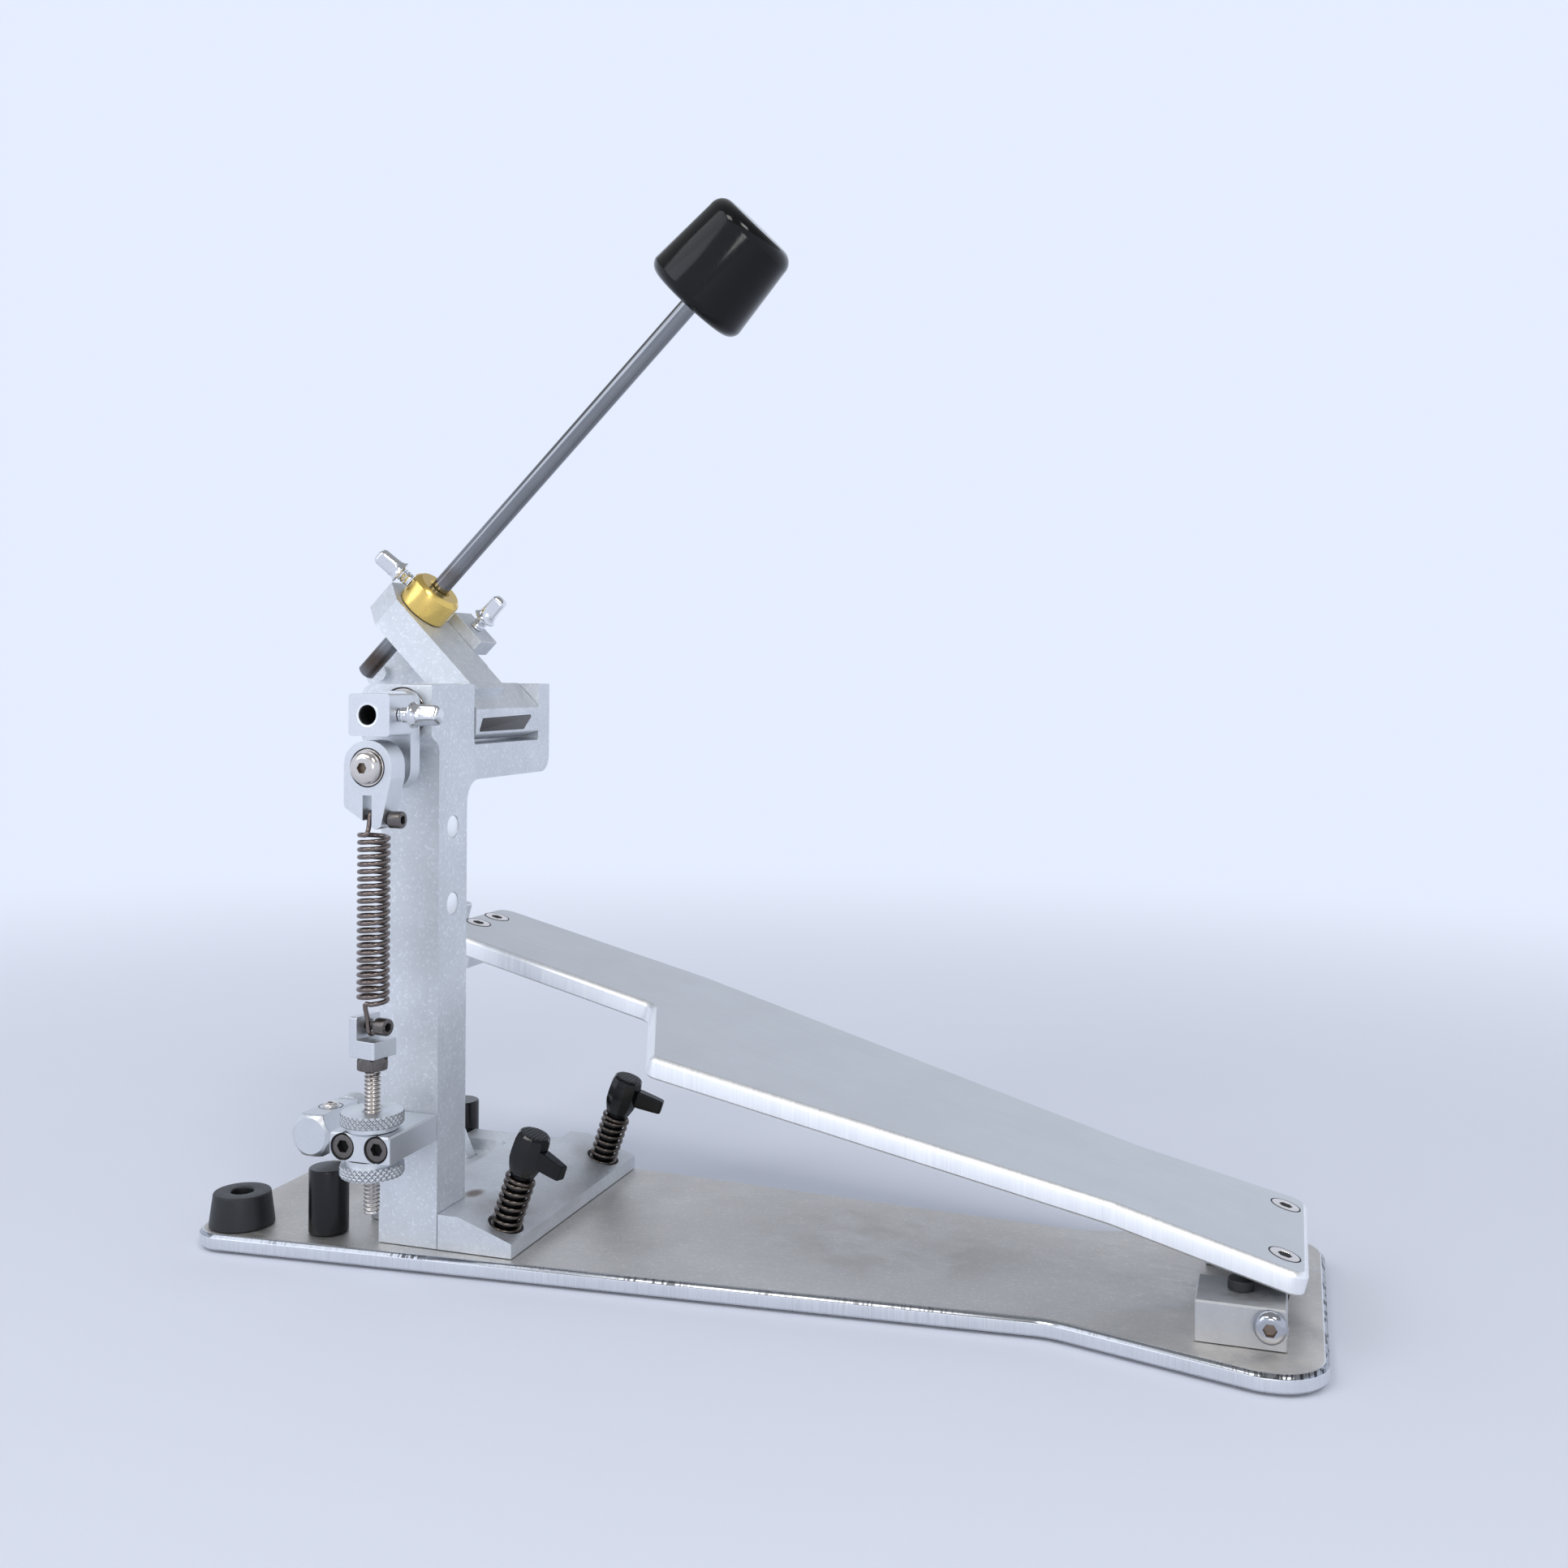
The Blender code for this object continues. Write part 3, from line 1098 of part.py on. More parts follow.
def make_spring():
    """Spring lever, tension spring and the hook screws at both ends."""
    anchor = (0.0, SPRING_Y, ANCHOR_Z)
    pin_z = SHAFT_Z - CRANK_R
    y0 = SPRING_Y - LEVER2_T / 2
    y1 = SPRING_Y + LEVER2_T / 2
    tip = pin_z - LEVER2_TIP
    outline = rounded([
        (-LEVER2_R, pin_z - LEVER2_CORNER, 2.0 * MM),
        (LEVER2_TIP_X0, tip, 1.2 * MM),
        (LEVER2_TIP_X1, tip + 1.2 * MM, 1.0 * MM),
        (LEVER2_R, pin_z - LEVER2_R * 0.4, 4.0 * MM),
        (LEVER2_R, pin_z + LEVER2_R, LEVER2_R * 0.9),
        (-LEVER2_R, pin_z + LEVER2_R, LEVER2_R * 0.9),
    ])
    body = side_prism(outline, y0, y1)
    play = CRANK_PIN_D + 2 * CRANK_PIN_PLAY
    body = cut(
        body,
        drum(at(0.0, y0 - 1.0 * MM, pin_z, "Y"), 0.0, LEVER2_T + 2.0 * MM, play),
        box(-HOOK_SLOT_HW, HOOK_SLOT_HW, y0 - 1.0 * MM, y1 + 1.0 * MM,
            tip - 1.0 * MM, pin_z - HOOK_SLOT_TOP),
        drum(at(0.0, SPRING_Y, HOOK_PIN_Z, "X"), 0.0,
             LEVER2_R + 1.0 * MM, HOOK_PIN_D + 2 * GAP, 16),
    )
    place("spring_lever", body, "aluminium", anchor)
    spot = at(HOOK_HEAD_X, SPRING_Y, HOOK_PIN_Z, "X")
    shank = HOOK_HEAD_X + HOOK_SLOT_HW - GAP
    screw = socket_screw(spot, HOOK_SCREW_D, HOOK_SCREW_H, HOOK_PIN_D, shank, False)
    place("lever_hook_screw", screw, "dark_steel", anchor)
    hook = HOOK_PIN_D / 2 + SPRING_WIRE / 2 + 0.5 * MM
    radius = (SPRING_OD - SPRING_WIRE) / 2
    frame = Matrix.Translation((0.0, SPRING_Y, 0.0))
    coil = helix(frame, radius, COIL_Z0, COIL_Z1, SPRING_TURNS, -math.pi / 2)
    wire = []
    for centre, sign, angles in (
        (ANCHOR_Z, -1.0, range(200, -1, -25)),
        (HOOK_PIN_Z, 1.0, range(180, -21, -25)),
    ):
        arc = []
        for degrees in angles:
            angle = math.radians(degrees)
            arc.append(Vector((0.0, SPRING_Y + sign * hook * math.cos(angle),
                               centre + sign * hook * math.sin(angle))))
        wire.append(arc)
    lower, upper = wire
    first = lower[0] + (lower[0] - lower[1]).normalized() * SPRING_WIRE
    last = upper[-1] + (upper[-1] - upper[-2]).normalized() * SPRING_WIRE
    points = [first] + lower
    points.append(Vector((0.0, SPRING_Y - hook - 0.6 * MM, ANCHOR_Z + 3.4 * MM)))
    points += coil
    points.append(Vector((0.0, SPRING_Y - hook - 0.6 * MM, HOOK_PIN_Z - 3.4 * MM)))
    points += upper + [last]
    curl("tension_spring", points, SPRING_WIRE, "dark_steel", anchor)


def make_tensioner():
    """Clevis, threaded rod, knurled nuts and the block that holds the rod."""
    turn = Matrix.Translation((0.0, SPRING_Y, 0.0)) @ Matrix.Rotation(CLEVIS_TURN, 4, "Z")
    half = CLEVIS_HW
    plan = rounded([
        (-half, -half, 1.0 * MM), (half, -half, 1.0 * MM),
        (half, half, 1.0 * MM), (-half, half, 1.0 * MM),
    ])
    body = plan_prism(plan, CLEVIS_Z0, CLEVIS_Z1, 0.6 * MM)
    body = cut(
        body,
        box(CLEVIS_WALL_X, half + 1.0 * MM, -half - 1.0 * MM, half + 1.0 * MM,
            CLEVIS_SLOT_Z, CLEVIS_Z1 + 1.0 * MM),
        drum(at(-half - 1.0 * MM, 0.0, ANCHOR_Z, "X"), 0.0,
             half + 3.0 * MM, HOOK_PIN_D + 2 * GAP, 16),
    )
    place("clevis", moved(body, turn), "aluminium")
    spot = turn @ at(CLEVIS_HEAD_X, 0.0, ANCHOR_Z, "X")
    shank = CLEVIS_HEAD_X + half - 0.8 * MM
    screw = socket_screw(spot, HOOK_SCREW_D, HOOK_SCREW_H, HOOK_PIN_D, shank, False)
    place("clevis_screw", screw, "dark_steel")
    axis = at(0.0, SPRING_Y, 0.0)
    top = CLEVIS_Z0 - GAP
    bore = TROD_D + 2 * GAP
    nut = turned([(top - JAM_H, JAM_AF, "hex"), (top, JAM_AF, "hex")], axis)
    nut = cut(nut, drum(axis, top - JAM_H - 1.0 * MM, top + 1.0 * MM, bore))
    place("jam_nut", nut, "dark_steel")
    rod = turned([
        (TROD_Z0, TROD_D - 1.2 * MM, "round"),
        (TROD_Z0 + 0.8 * MM, TROD_D, "round"),
        (top, TROD_D, "round"),
    ], axis)
    place("tension_rod", rod, "steel")
    plan = rounded([
        (-POST_HX, TBLOCK_Y0, 1.0 * MM), (POST_HX, TBLOCK_Y0, 1.0 * MM),
        (POST_HX, POST_Y0 - GAP, 0.0), (-POST_HX, POST_Y0 - GAP, 0.0),
    ])
    body = plan_prism(plan, TBLOCK_Z0, TBLOCK_Z1, 0.6 * MM)
    body = cut(body, drum(axis, TBLOCK_Z0 - 1.0 * MM, TBLOCK_Z1 + 1.0 * MM, bore))
    middle = (TBLOCK_Z0 + TBLOCK_Z1) / 2
    for sign, tag in ((-1, "a"), (1, "b")):
        spot = at(sign * TBLOCK_SCREW_X, TBLOCK_Y0 + CAP_HEAD_H + GAP, middle, "-Y")
        length = POST_Y0 - TBLOCK_Y0 - CAP_HEAD_H - 3 * GAP
        body = cut(
            body,
            drum(spot, -GAP, CAP_HEAD_H + 2.0 * MM, CAP_HEAD_D + 2 * GAP),
            drum(spot, -length - 5.0 * MM, 1.0 * MM, CAP_SHANK_D + 2 * GAP),
        )
        screw = socket_screw(spot, CAP_HEAD_D, CAP_HEAD_H, CAP_SHANK_D, length, False)
        place("tensioner_screw_" + tag, screw, "dark_steel")
    place("tensioner_block", body, "aluminium")
    for tag, start, sign in (
        ("upper", TBLOCK_Z1 + GAP, 1), ("lower", TBLOCK_Z0 - GAP, -1),
    ):
        edge = start + sign * NUT_BOSS_H
        rim = edge + sign * 0.6 * MM
        far = start + sign * NUT_H
        profile = [
            (start, bore), (start, NUT_BOSS_D), (edge, NUT_BOSS_D),
            (edge, NUT_D - 1.2 * MM), (rim, NUT_D),
            (far - sign * 0.6 * MM, NUT_D), (far, NUT_D - 1.2 * MM), (far, bore),
        ]
        place("tension_nut_" + tag, sleeve(profile, axis, 32), "aluminium",
              (0.0, SPRING_Y, 0.0))


def main():
    """Clear the scene and build every piece."""
    for old in list(bpy.data.objects):
        bpy.data.objects.remove(old, do_unlink=True)
    make_base()
    make_tower()
    make_clamp()
    for side, tag in ((-1, "near"), (1, "far")):
        make_wing(side, tag)
        make_jaw(side, tag)
        make_stops(side, tag)
        make_heel(side, tag)
    make_board()
    make_link()
    make_hub()
    make_lever()
    make_beater()
    make_crank()
    make_spring()
    make_tensioner()


main()
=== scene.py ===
"""Looks of a bass drum pedal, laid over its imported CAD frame.

Round pieces are profiles carried round an axis, wires are rings carried along a
path and plates are edge profiles carried round an outline. Angular castings are
merged copies of their CAD solids with broken edges. All lengths are metres.
"""

import math

import bmesh
import bpy
import numpy as np
from mathutils import Matrix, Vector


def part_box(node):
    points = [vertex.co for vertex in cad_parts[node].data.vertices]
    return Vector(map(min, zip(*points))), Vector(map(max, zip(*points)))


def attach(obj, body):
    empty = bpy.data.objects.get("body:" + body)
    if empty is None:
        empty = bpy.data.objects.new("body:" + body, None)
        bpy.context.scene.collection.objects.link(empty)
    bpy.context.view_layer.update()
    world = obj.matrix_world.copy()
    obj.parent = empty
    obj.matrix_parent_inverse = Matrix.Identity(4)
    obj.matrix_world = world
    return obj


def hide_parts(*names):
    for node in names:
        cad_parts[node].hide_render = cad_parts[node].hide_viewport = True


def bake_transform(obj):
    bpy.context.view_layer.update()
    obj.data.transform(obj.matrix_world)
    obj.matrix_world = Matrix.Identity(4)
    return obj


bl_info = {
    "name": "Bass drum pedal looks",
    "version": (1, 0, 0),
    "blender": (4, 5, 0),
    "location": "View3D > Sidebar > Pedal",
    "description": "Dresses the packed pedal frame with finished surfaces",
    "category": "Object",
}

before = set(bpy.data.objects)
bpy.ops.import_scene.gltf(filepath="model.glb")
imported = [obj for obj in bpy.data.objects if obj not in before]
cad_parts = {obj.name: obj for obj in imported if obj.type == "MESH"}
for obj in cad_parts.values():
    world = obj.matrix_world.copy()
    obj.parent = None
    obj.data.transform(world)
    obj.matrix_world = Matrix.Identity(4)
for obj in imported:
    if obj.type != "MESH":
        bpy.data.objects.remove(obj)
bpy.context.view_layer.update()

MM = 0.001
SIDES = ((-1.0, "near"), (1.0, "far"))

# Places shared by several pieces
TILT = math.radians(14.6)
HINGE = np.array((319.6, 0.0, 15.65)) * MM
BOARD_TOP = 17.4 * MM
SHAFT = np.array((0.0, 0.0, 214.35)) * MM
CRANK_PIN_Z = SHAFT[2] - 19.5 * MM
LEAN = math.radians(45.0)
ROD_AXIS = np.array((math.sin(LEAN), 0.0, math.cos(LEAN)))
ARM_AXIS = np.array((-math.sin(LEAN), 0.0, math.cos(LEAN)))
ROD_START = SHAFT + 46.0 * MM * ARM_AXIS + np.array((0.0, -11.5 * MM, 0.0))
SPRING_Y = -82.0 * MM
SPRING_ANCHOR_Z = 98.55 * MM
SPRING_PIN_Z = 175.45 * MM
NUT_RADIUS = 12.0 * MM
WING_SLOPE = math.atan2(7.8, 22.8)
WING_AXIS = np.array((math.sin(WING_SLOPE), 0.0, math.cos(WING_SLOPE)))
WING_SIDE = np.array((math.cos(WING_SLOPE), 0.0, -math.sin(WING_SLOPE)))


def linear(text):
    """Turn an sRGB hex colour into linear red, green, blue and alpha."""
    raw = np.array([int(text[i:i + 2], 16) for i in (1, 3, 5)]) / 255.0
    flat = np.where(raw <= 0.04045, raw / 12.92, ((raw + 0.055) / 1.055) ** 2.4)
    return (*(float(v) for v in flat), 1.0)


def tone(label, text, words):
    """Return a colour property whose default is an sRGB hex value."""
    return bpy.props.FloatVectorProperty(
        name=label, description=words, size=4, subtype="COLOR", min=0.0, max=1.0,
        default=linear(text),
    )


def span(label, value, words):
    """Return a length property in metres."""
    return bpy.props.FloatProperty(
        name=label, description=words, default=value, min=0.0, precision=5,
        subtype="DISTANCE", unit="LENGTH",
    )


class PedalSizes(bpy.types.PropertyGroup):
    """Sizes of the finished surfaces."""

    segments: bpy.props.IntProperty(
        name="Round segments", description="Points round each turned piece",
        default=72, min=24, max=144,
    )
    edge: span("Edge break", 0.30 * MM, "Width of the broken edges on the castings")
    base_chamfer: span("Base chamfer", 1.4 * MM, "Chamfer round the base plate")
    board_chamfer: span("Board chamfer", 1.6 * MM, "Chamfer round the footboard")
    spring_wire: span("Spring wire", 1.8 * MM, "Wire of the tension spring")
    spring_outer: span("Spring diameter", 12.3 * MM, "Outside of the tension spring")
    spring_coils: bpy.props.IntProperty(
        name="Spring coils", description="Coils of the tension spring",
        default=23, min=5, max=40,
    )
    clamp_wire: span("Clamp spring wire", 1.6 * MM, "Wire under the wing knobs")
    clamp_outer: span("Clamp spring diameter", 12.4 * MM, "Outside of those springs")
    clamp_coils: bpy.props.FloatProperty(
        name="Clamp spring coils", description="Coils of the springs under the knobs",
        default=8.0, min=3.0, max=15.0,
    )
    rod_pitch: span("Rod pitch", 1.5 * MM, "Thread pitch of the tension rod, coarser than real")
    key_pitch: span("Key screw pitch", 1.4 * MM, "Thread pitch of the key screws, coarser than real")
    knurl_depth: span("Knurl depth", 0.75 * MM, "Depth of the diamonds on the nuts")
    knurl_count: bpy.props.IntProperty(
        name="Knurl count", description="Diamonds round each nut, fewer than real",
        default=34, min=20, max=100,
    )


class PedalColours(bpy.types.PropertyGroup):
    """Colours of the finishes."""

    aluminium: tone("Aluminium", "#DDE0E3", "Bare satin aluminium")
    # Tint of the heel blocks, set darker than the aluminium as painted shade
    tumbled: tone("Tumbled", "#C3C4C5", "Tumbled aluminium of the heel blocks")
    board: tone("Board", "#E0E3E5", "Brushed top of the footboard")
    worn: tone("Worn plate", "#D4D1CC", "Worn top of the base plate")
    milled: tone("Milled edge", "#FBFCFD", "Freshly cut edges of the footboard")
    sawn: tone("Base edge", "#E2E4E8", "Cut sides of the base plate")
    gold: tone("Gold", "#ECCB74", "Gold-anodised collar")
    zinc: tone("Zinc", "#F0F6FC", "Bright zinc plate")
    stainless: tone("Stainless", "#D8D2CD", "Stainless screws and the threaded rod")
    steel: tone("Steel", "#B9BBC0", "Polished hinge screws")
    rod: tone("Rod", "#86888C", "Polished dark steel rod")
    spring: tone("Spring", "#7C716C", "Oil-tempered spring wire")
    oxide: tone("Black oxide", "#716C69", "Black-oxide cap screws")
    enamel: tone("Black wire", "#615953", "Black coated spring wire")
    plastic: tone("Black plastic", "#08090A", "Gloss black plastic")
    acetal: tone("Black stop", "#0B0B0D", "Satin black hoop stops")
    rubber: tone("Rubber", "#1B1C1E", "Black rubber")
    stain: tone("Stain", "#6E5A4A", "Brown oil stain")
    label: tone("Plate", "#2A2523", "Bare dark plate on the hub")
    floor: tone("Floor", "#E6EAF4", "Pale studio floor")
    backdrop: tone("Backdrop", "#E6EEFF", "Glow of the light tent round the floor")


def sizes():
    """Return the size properties of this scene."""
    return bpy.context.scene.pedal_sizes


def colour(name):
    """Return one colour property as a plain tuple."""
    return tuple(getattr(bpy.context.scene.pedal_colours, name))


def add(tree, kind, inputs=None, **settings):
    """Add a node, set its properties, and set or link each named input."""
    made = tree.nodes.new(kind)
    for key, value in settings.items():
        setattr(made, key, value)
    for key, value in (inputs or {}).items():
        if isinstance(value, bpy.types.NodeSocket):
            tree.links.new(value, made.inputs[key])
        else:
            made.inputs[key].default_value = value
    return made


def blank(name):
    """Return a new material and its empty node tree."""
    made = bpy.data.materials.new(name)
    made.use_nodes = True
    made.node_tree.nodes.clear()
    return made, made.node_tree


def surfaced(name, tint, metallic, rough, grain, contrast=0.05, bump=0.0, centre=(0, 0, 0),
             turn=(0, 0, 0), swing=0.06, cloud=0.04, fleck=0.0, cell=0.55 * MM, stains_and_painted_light=(),
             shine=0.5):
    """Solid finish with grain, clouds, flecks and stains; the flecks are painted glints and some
    stains are painted shade and painted highlight.

    The grain is noise stretched to three sizes in metres along a turned frame;
    it shifts colour by contrast, roughness by swing and height by bump metres.
    Clouds are 25 mm wide. Flecks are painted glints: cells of a given width, of which a few are
    painted brighter. A stain is a centre, three radii, a colour and a share at its middle; stains
    carry real dirt as well as painted shade and painted highlight.
    Shine is the reflection of a surface that is no metal.
    """
    made, tree = blank(name)
    where = add(tree, "ShaderNodeTexCoord").outputs["Object"]
    held = add(tree, "ShaderNodeMapping", {
        "Vector": where, "Location": centre, "Rotation": turn, "Scale": grain,
    }, vector_type="TEXTURE").outputs["Vector"]
    noise = add(tree, "ShaderNodeTexNoise", {
        "Vector": held, "Scale": 1.0, "Detail": 3.0, "Roughness": 0.6,
    }).outputs["Fac"]
    patch = add(tree, "ShaderNodeTexNoise", {
        "Vector": where, "Scale": 40.0, "Detail": 4.0, "Roughness": 0.55,
    }).outputs["Fac"]
    shade = add(tree, "ShaderNodeMapRange", {
        "Value": noise, "From Min": 0.25, "From Max": 0.75,
        "To Min": 1.0 - contrast, "To Max": 1.0 + contrast,
    }).outputs["Result"]
    drift = add(tree, "ShaderNodeMapRange", {
        "Value": patch, "From Min": 0.3, "From Max": 0.7,
        "To Min": 1.0 - cloud, "To Max": 1.0 + cloud,
    }).outputs["Result"]
    shade = add(tree, "ShaderNodeMath", {0: shade, 1: drift}, operation="MULTIPLY").outputs[0]
    # Flecks: painted glints, a few small cells painted brighter than the rest
    if fleck > 0.0:
        grains = add(tree, "ShaderNodeTexVoronoi", {"Vector": where, "Scale": 1.0 / cell})
        pick = add(tree, "ShaderNodeSeparateColor", {"Color": grains.outputs["Color"]})
        glint = add(tree, "ShaderNodeMapRange", {
            "Value": pick.outputs["Red"], "From Min": 0.78, "From Max": 1.0,
            "To Min": 1.0, "To Max": 1.0 + fleck,
        }).outputs["Result"]
        shade = add(tree, "ShaderNodeMath", {0: shade, 1: glint}, operation="MULTIPLY").outputs[0]
    paint = add(tree, "ShaderNodeVectorMath", {0: tint[:3], "Scale": shade},
                operation="SCALE").outputs["Vector"]
    # Stains mix in real dirt and also patches of painted shade and painted highlight
    for spot, radii, ink, share in stains_and_painted_light:
        local = add(tree, "ShaderNodeMapping", {
            "Vector": where, "Location": spot, "Scale": radii,
        }, vector_type="TEXTURE").outputs["Vector"]
        reach = add(tree, "ShaderNodeVectorMath", {0: local}, operation="LENGTH")
        fade = add(tree, "ShaderNodeMapRange", {
            "Value": reach.outputs["Value"], "From Min": 1.0, "From Max": 0.3,
            "To Min": 0.0, "To Max": share,
        }, interpolation_type="SMOOTHSTEP").outputs["Result"]
        blot = add(tree, "ShaderNodeMapRange", {
            "Value": patch, "From Min": 0.36, "From Max": 0.60,
        }).outputs["Result"]
        fade = add(tree, "ShaderNodeMath", {0: fade, 1: blot}, operation="MULTIPLY").outputs[0]
        paint = add(tree, "ShaderNodeMix", {0: fade, 6: paint, 7: ink},
                    data_type="RGBA").outputs[2]
    gloss = add(tree, "ShaderNodeMapRange", {
        "Value": noise, "From Min": 0.25, "From Max": 0.75,
        "To Min": max(0.02, rough - swing), "To Max": rough + swing,
    }).outputs["Result"]
    values = {"Base Color": paint, "Metallic": metallic, "Roughness": gloss}
    if metallic < 0.5:
        values["Specular IOR Level"] = shine
    if bump > 0.0:
        values["Normal"] = add(tree, "ShaderNodeBump", {
            "Height": noise, "Strength": 1.0, "Distance": bump,
        }).outputs["Normal"]
    shader = add(tree, "ShaderNodeBsdfPrincipled", values)
    add(tree, "ShaderNodeOutputMaterial", {"Surface": shader.outputs["BSDF"]})
    return made


def brushed_aluminium(name):
    """Footboard plate, belt-brushed lengthwise: long fine streaks, dull glare."""
    # Scratches 0.4 mm wide and 60 mm long, drawn wider than real so that they show
    return surfaced(name, colour("board"), 1.0, 0.46, (60 * MM, 0.4 * MM, 0.4 * MM),
                    contrast=0.05, bump=0.006 * MM, centre=tuple(HINGE),
                    turn=(0.0, TILT, 0.0), swing=0.06, cloud=0.025)


def rolled_aluminium(name):
    """Base plate, mill-rolled and worn: lengthwise streaks and brown marks, with painted shade under
    the footboard and a painted highlight at the heel.
    """
    brown = colour("stain")
    # bright is a painted highlight on the heel; dull is painted shade under the footboard
    bright = linear("#F2ECE4")
    dull = linear("#8E8882")
    return surfaced(name, colour("worn"), 1.0, 0.50, (9 * MM, 0.9 * MM, 0.9 * MM),
                    contrast=0.08, bump=0.010 * MM, swing=0.09, cloud=0.07, fleck=0.16,
                    cell=0.8 * MM, stains_and_painted_light=(
                        ((47 * MM, -8 * MM, 7 * MM), (10 * MM, 60 * MM, 8 * MM), brown, 0.22),
                        ((-70 * MM, -5 * MM, 7 * MM), (25 * MM, 40 * MM, 8 * MM), brown, 0.25),
                        # Painted shade under the footboard
                        ((175 * MM, 5 * MM, 7 * MM), (95 * MM, 60 * MM, 8 * MM), dull, 0.40),
                        # Painted highlight at the heel
                        ((318 * MM, -40 * MM, 7 * MM), (48 * MM, 60 * MM, 8 * MM), bright, 0.75),
                    ))


def blasted_aluminium(name):
    """Post, hub and blocks, tumbled in media: dull and mottled, with painted glints in small bright
    cells.
    """
    return surfaced(name, colour("aluminium"), 1.0, 0.60, (2.2 * MM,) * 3, contrast=0.045,
                    bump=0.03 * MM, swing=0.07, cloud=0.06, fleck=0.15, cell=0.8 * MM)


def tumbled_aluminium(name):
    """Heel blocks, tumbled smooth: plainer than the post, and painted darker than it as painted
    shade.
    """
    return surfaced(name, colour("tumbled"), 1.0, 0.56, (2.2 * MM,) * 3, contrast=0.05,
                    bump=0.02 * MM, swing=0.07, cloud=0.09, fleck=0.06)


def oiled_aluminium(name):
    """Clamp block: the tumbled finish with oil and rust marks round the screws."""
    brown = colour("stain")
    return surfaced(name, colour("aluminium"), 1.0, 0.56, (2.2 * MM,) * 3, contrast=0.06,
                    bump=0.03 * MM, swing=0.08, cloud=0.09, fleck=0.12, stains_and_painted_light=(
                        ((30 * MM, -38 * MM, 17 * MM), (26 * MM, 22 * MM, 12 * MM), brown, 0.40),
                        ((38 * MM, 0.0, 15 * MM), (14 * MM, 46 * MM, 9 * MM), brown, 0.28),
                        ((34 * MM, 44 * MM, 17 * MM), (16 * MM, 16 * MM, 12 * MM), brown, 0.38),
                        ((14 * MM, -30 * MM, 21 * MM), (5 * MM, 7 * MM, 4 * MM), brown, 0.8),
                    ))


def faced_aluminium(name):
    """Small cut blocks and faces, plain aluminium: smoother than the post."""
    return surfaced(name, colour("aluminium"), 1.0, 0.40, (0.8 * MM,) * 3, contrast=0.04,
                    bump=0.01 * MM, swing=0.06, cloud=0.04)


def milled_edge(name):
    """Cut sides of the footboard: smooth and bright, with faint tool lines across."""
    # Tool lines 0.6 mm apart, fainter than the chatter of the chamfer
    return surfaced(name, colour("milled"), 1.0, 0.40, (0.6 * MM, 8 * MM, 40 * MM),
                    contrast=0.05, swing=0.08, cloud=0.02)


def sawn_edge(name):
    """Cut sides of the base plate: duller than the footboard's, with faint lines."""
    return surfaced(name, colour("sawn"), 1.0, 0.30, (0.6 * MM, 8 * MM, 40 * MM),
                    contrast=0.06, swing=0.08, cloud=0.03)


def grooved(name, tint, rough, pitch, slants, depth):
    """Metal round the spring's axis, painted darker in its helical grooves as painted shade.

    A groove lies where height over pitch plus slant times the turn is near a whole
    number; slants of both signs cross into diamonds.
    """
    made, tree = blank(name)
    where = add(tree, "ShaderNodeTexCoord").outputs["Object"]
    split = add(tree, "ShaderNodeSeparateXYZ", {"Vector": where})
    side = add(tree, "ShaderNodeMath", {0: split.outputs["Y"], 1: SPRING_Y},
               operation="SUBTRACT").outputs[0]
    turn = add(tree, "ShaderNodeMath", {0: side, 1: split.outputs["X"]},
               operation="ARCTAN2").outputs[0]
    rise = add(tree, "ShaderNodeMath", {0: split.outputs["Z"], 1: pitch},
               operation="DIVIDE").outputs[0]
    dark = 0.0
    for slant in slants:
        phase = add(tree, "ShaderNodeMath", {0: turn, 1: slant / (2 * math.pi), 2: rise},
                    operation="MULTIPLY_ADD").outputs[0]
        wave = add(tree, "ShaderNodeMath", {0: phase, 1: 0.5}, operation="PINGPONG").outputs[0]
        line = add(tree, "ShaderNodeMapRange", {
            "Value": wave, "From Min": 0.20, "From Max": 0.06,
        }, interpolation_type="SMOOTHSTEP").outputs["Result"]
        dark = add(tree, "ShaderNodeMath", {0: line, 1: dark}, operation="MAXIMUM").outputs[0]
    # Painted shade: the colour darkens by depth where a groove lies
    shade = add(tree, "ShaderNodeMapRange", {
        "Value": dark, "To Min": 1.0, "To Max": 1.0 - depth,
    }).outputs["Result"]
    paint = add(tree, "ShaderNodeVectorMath", {0: tint[:3], "Scale": shade},
                operation="SCALE").outputs["Vector"]
    gloss = add(tree, "ShaderNodeMapRange", {
        "Value": dark, "To Min": rough, "To Max": rough + 0.25,
    }).outputs["Result"]
    shader = add(tree, "ShaderNodeBsdfPrincipled", {
        "Base Color": paint, "Metallic": 1.0, "Roughness": gloss,
    })
    add(tree, "ShaderNodeOutputMaterial", {"Surface": shader.outputs["BSDF"]})
    return made


def knurled_aluminium(name):
    """Rims of the nuts: crisp bright diamonds with painted shade in the grooves between them."""
    count = sizes().knurl_count
    step = 2 * math.pi * NUT_RADIUS / count
    return grooved(name, colour("aluminium"), 0.30, step, (count, -count), 0.62)


def threaded_steel(name):
    """Tension rod, rolled stainless thread: bright crests, with painted shade in the roots."""
    return grooved(name, colour("stainless"), 0.22, sizes().rod_pitch, (1,), 0.72)


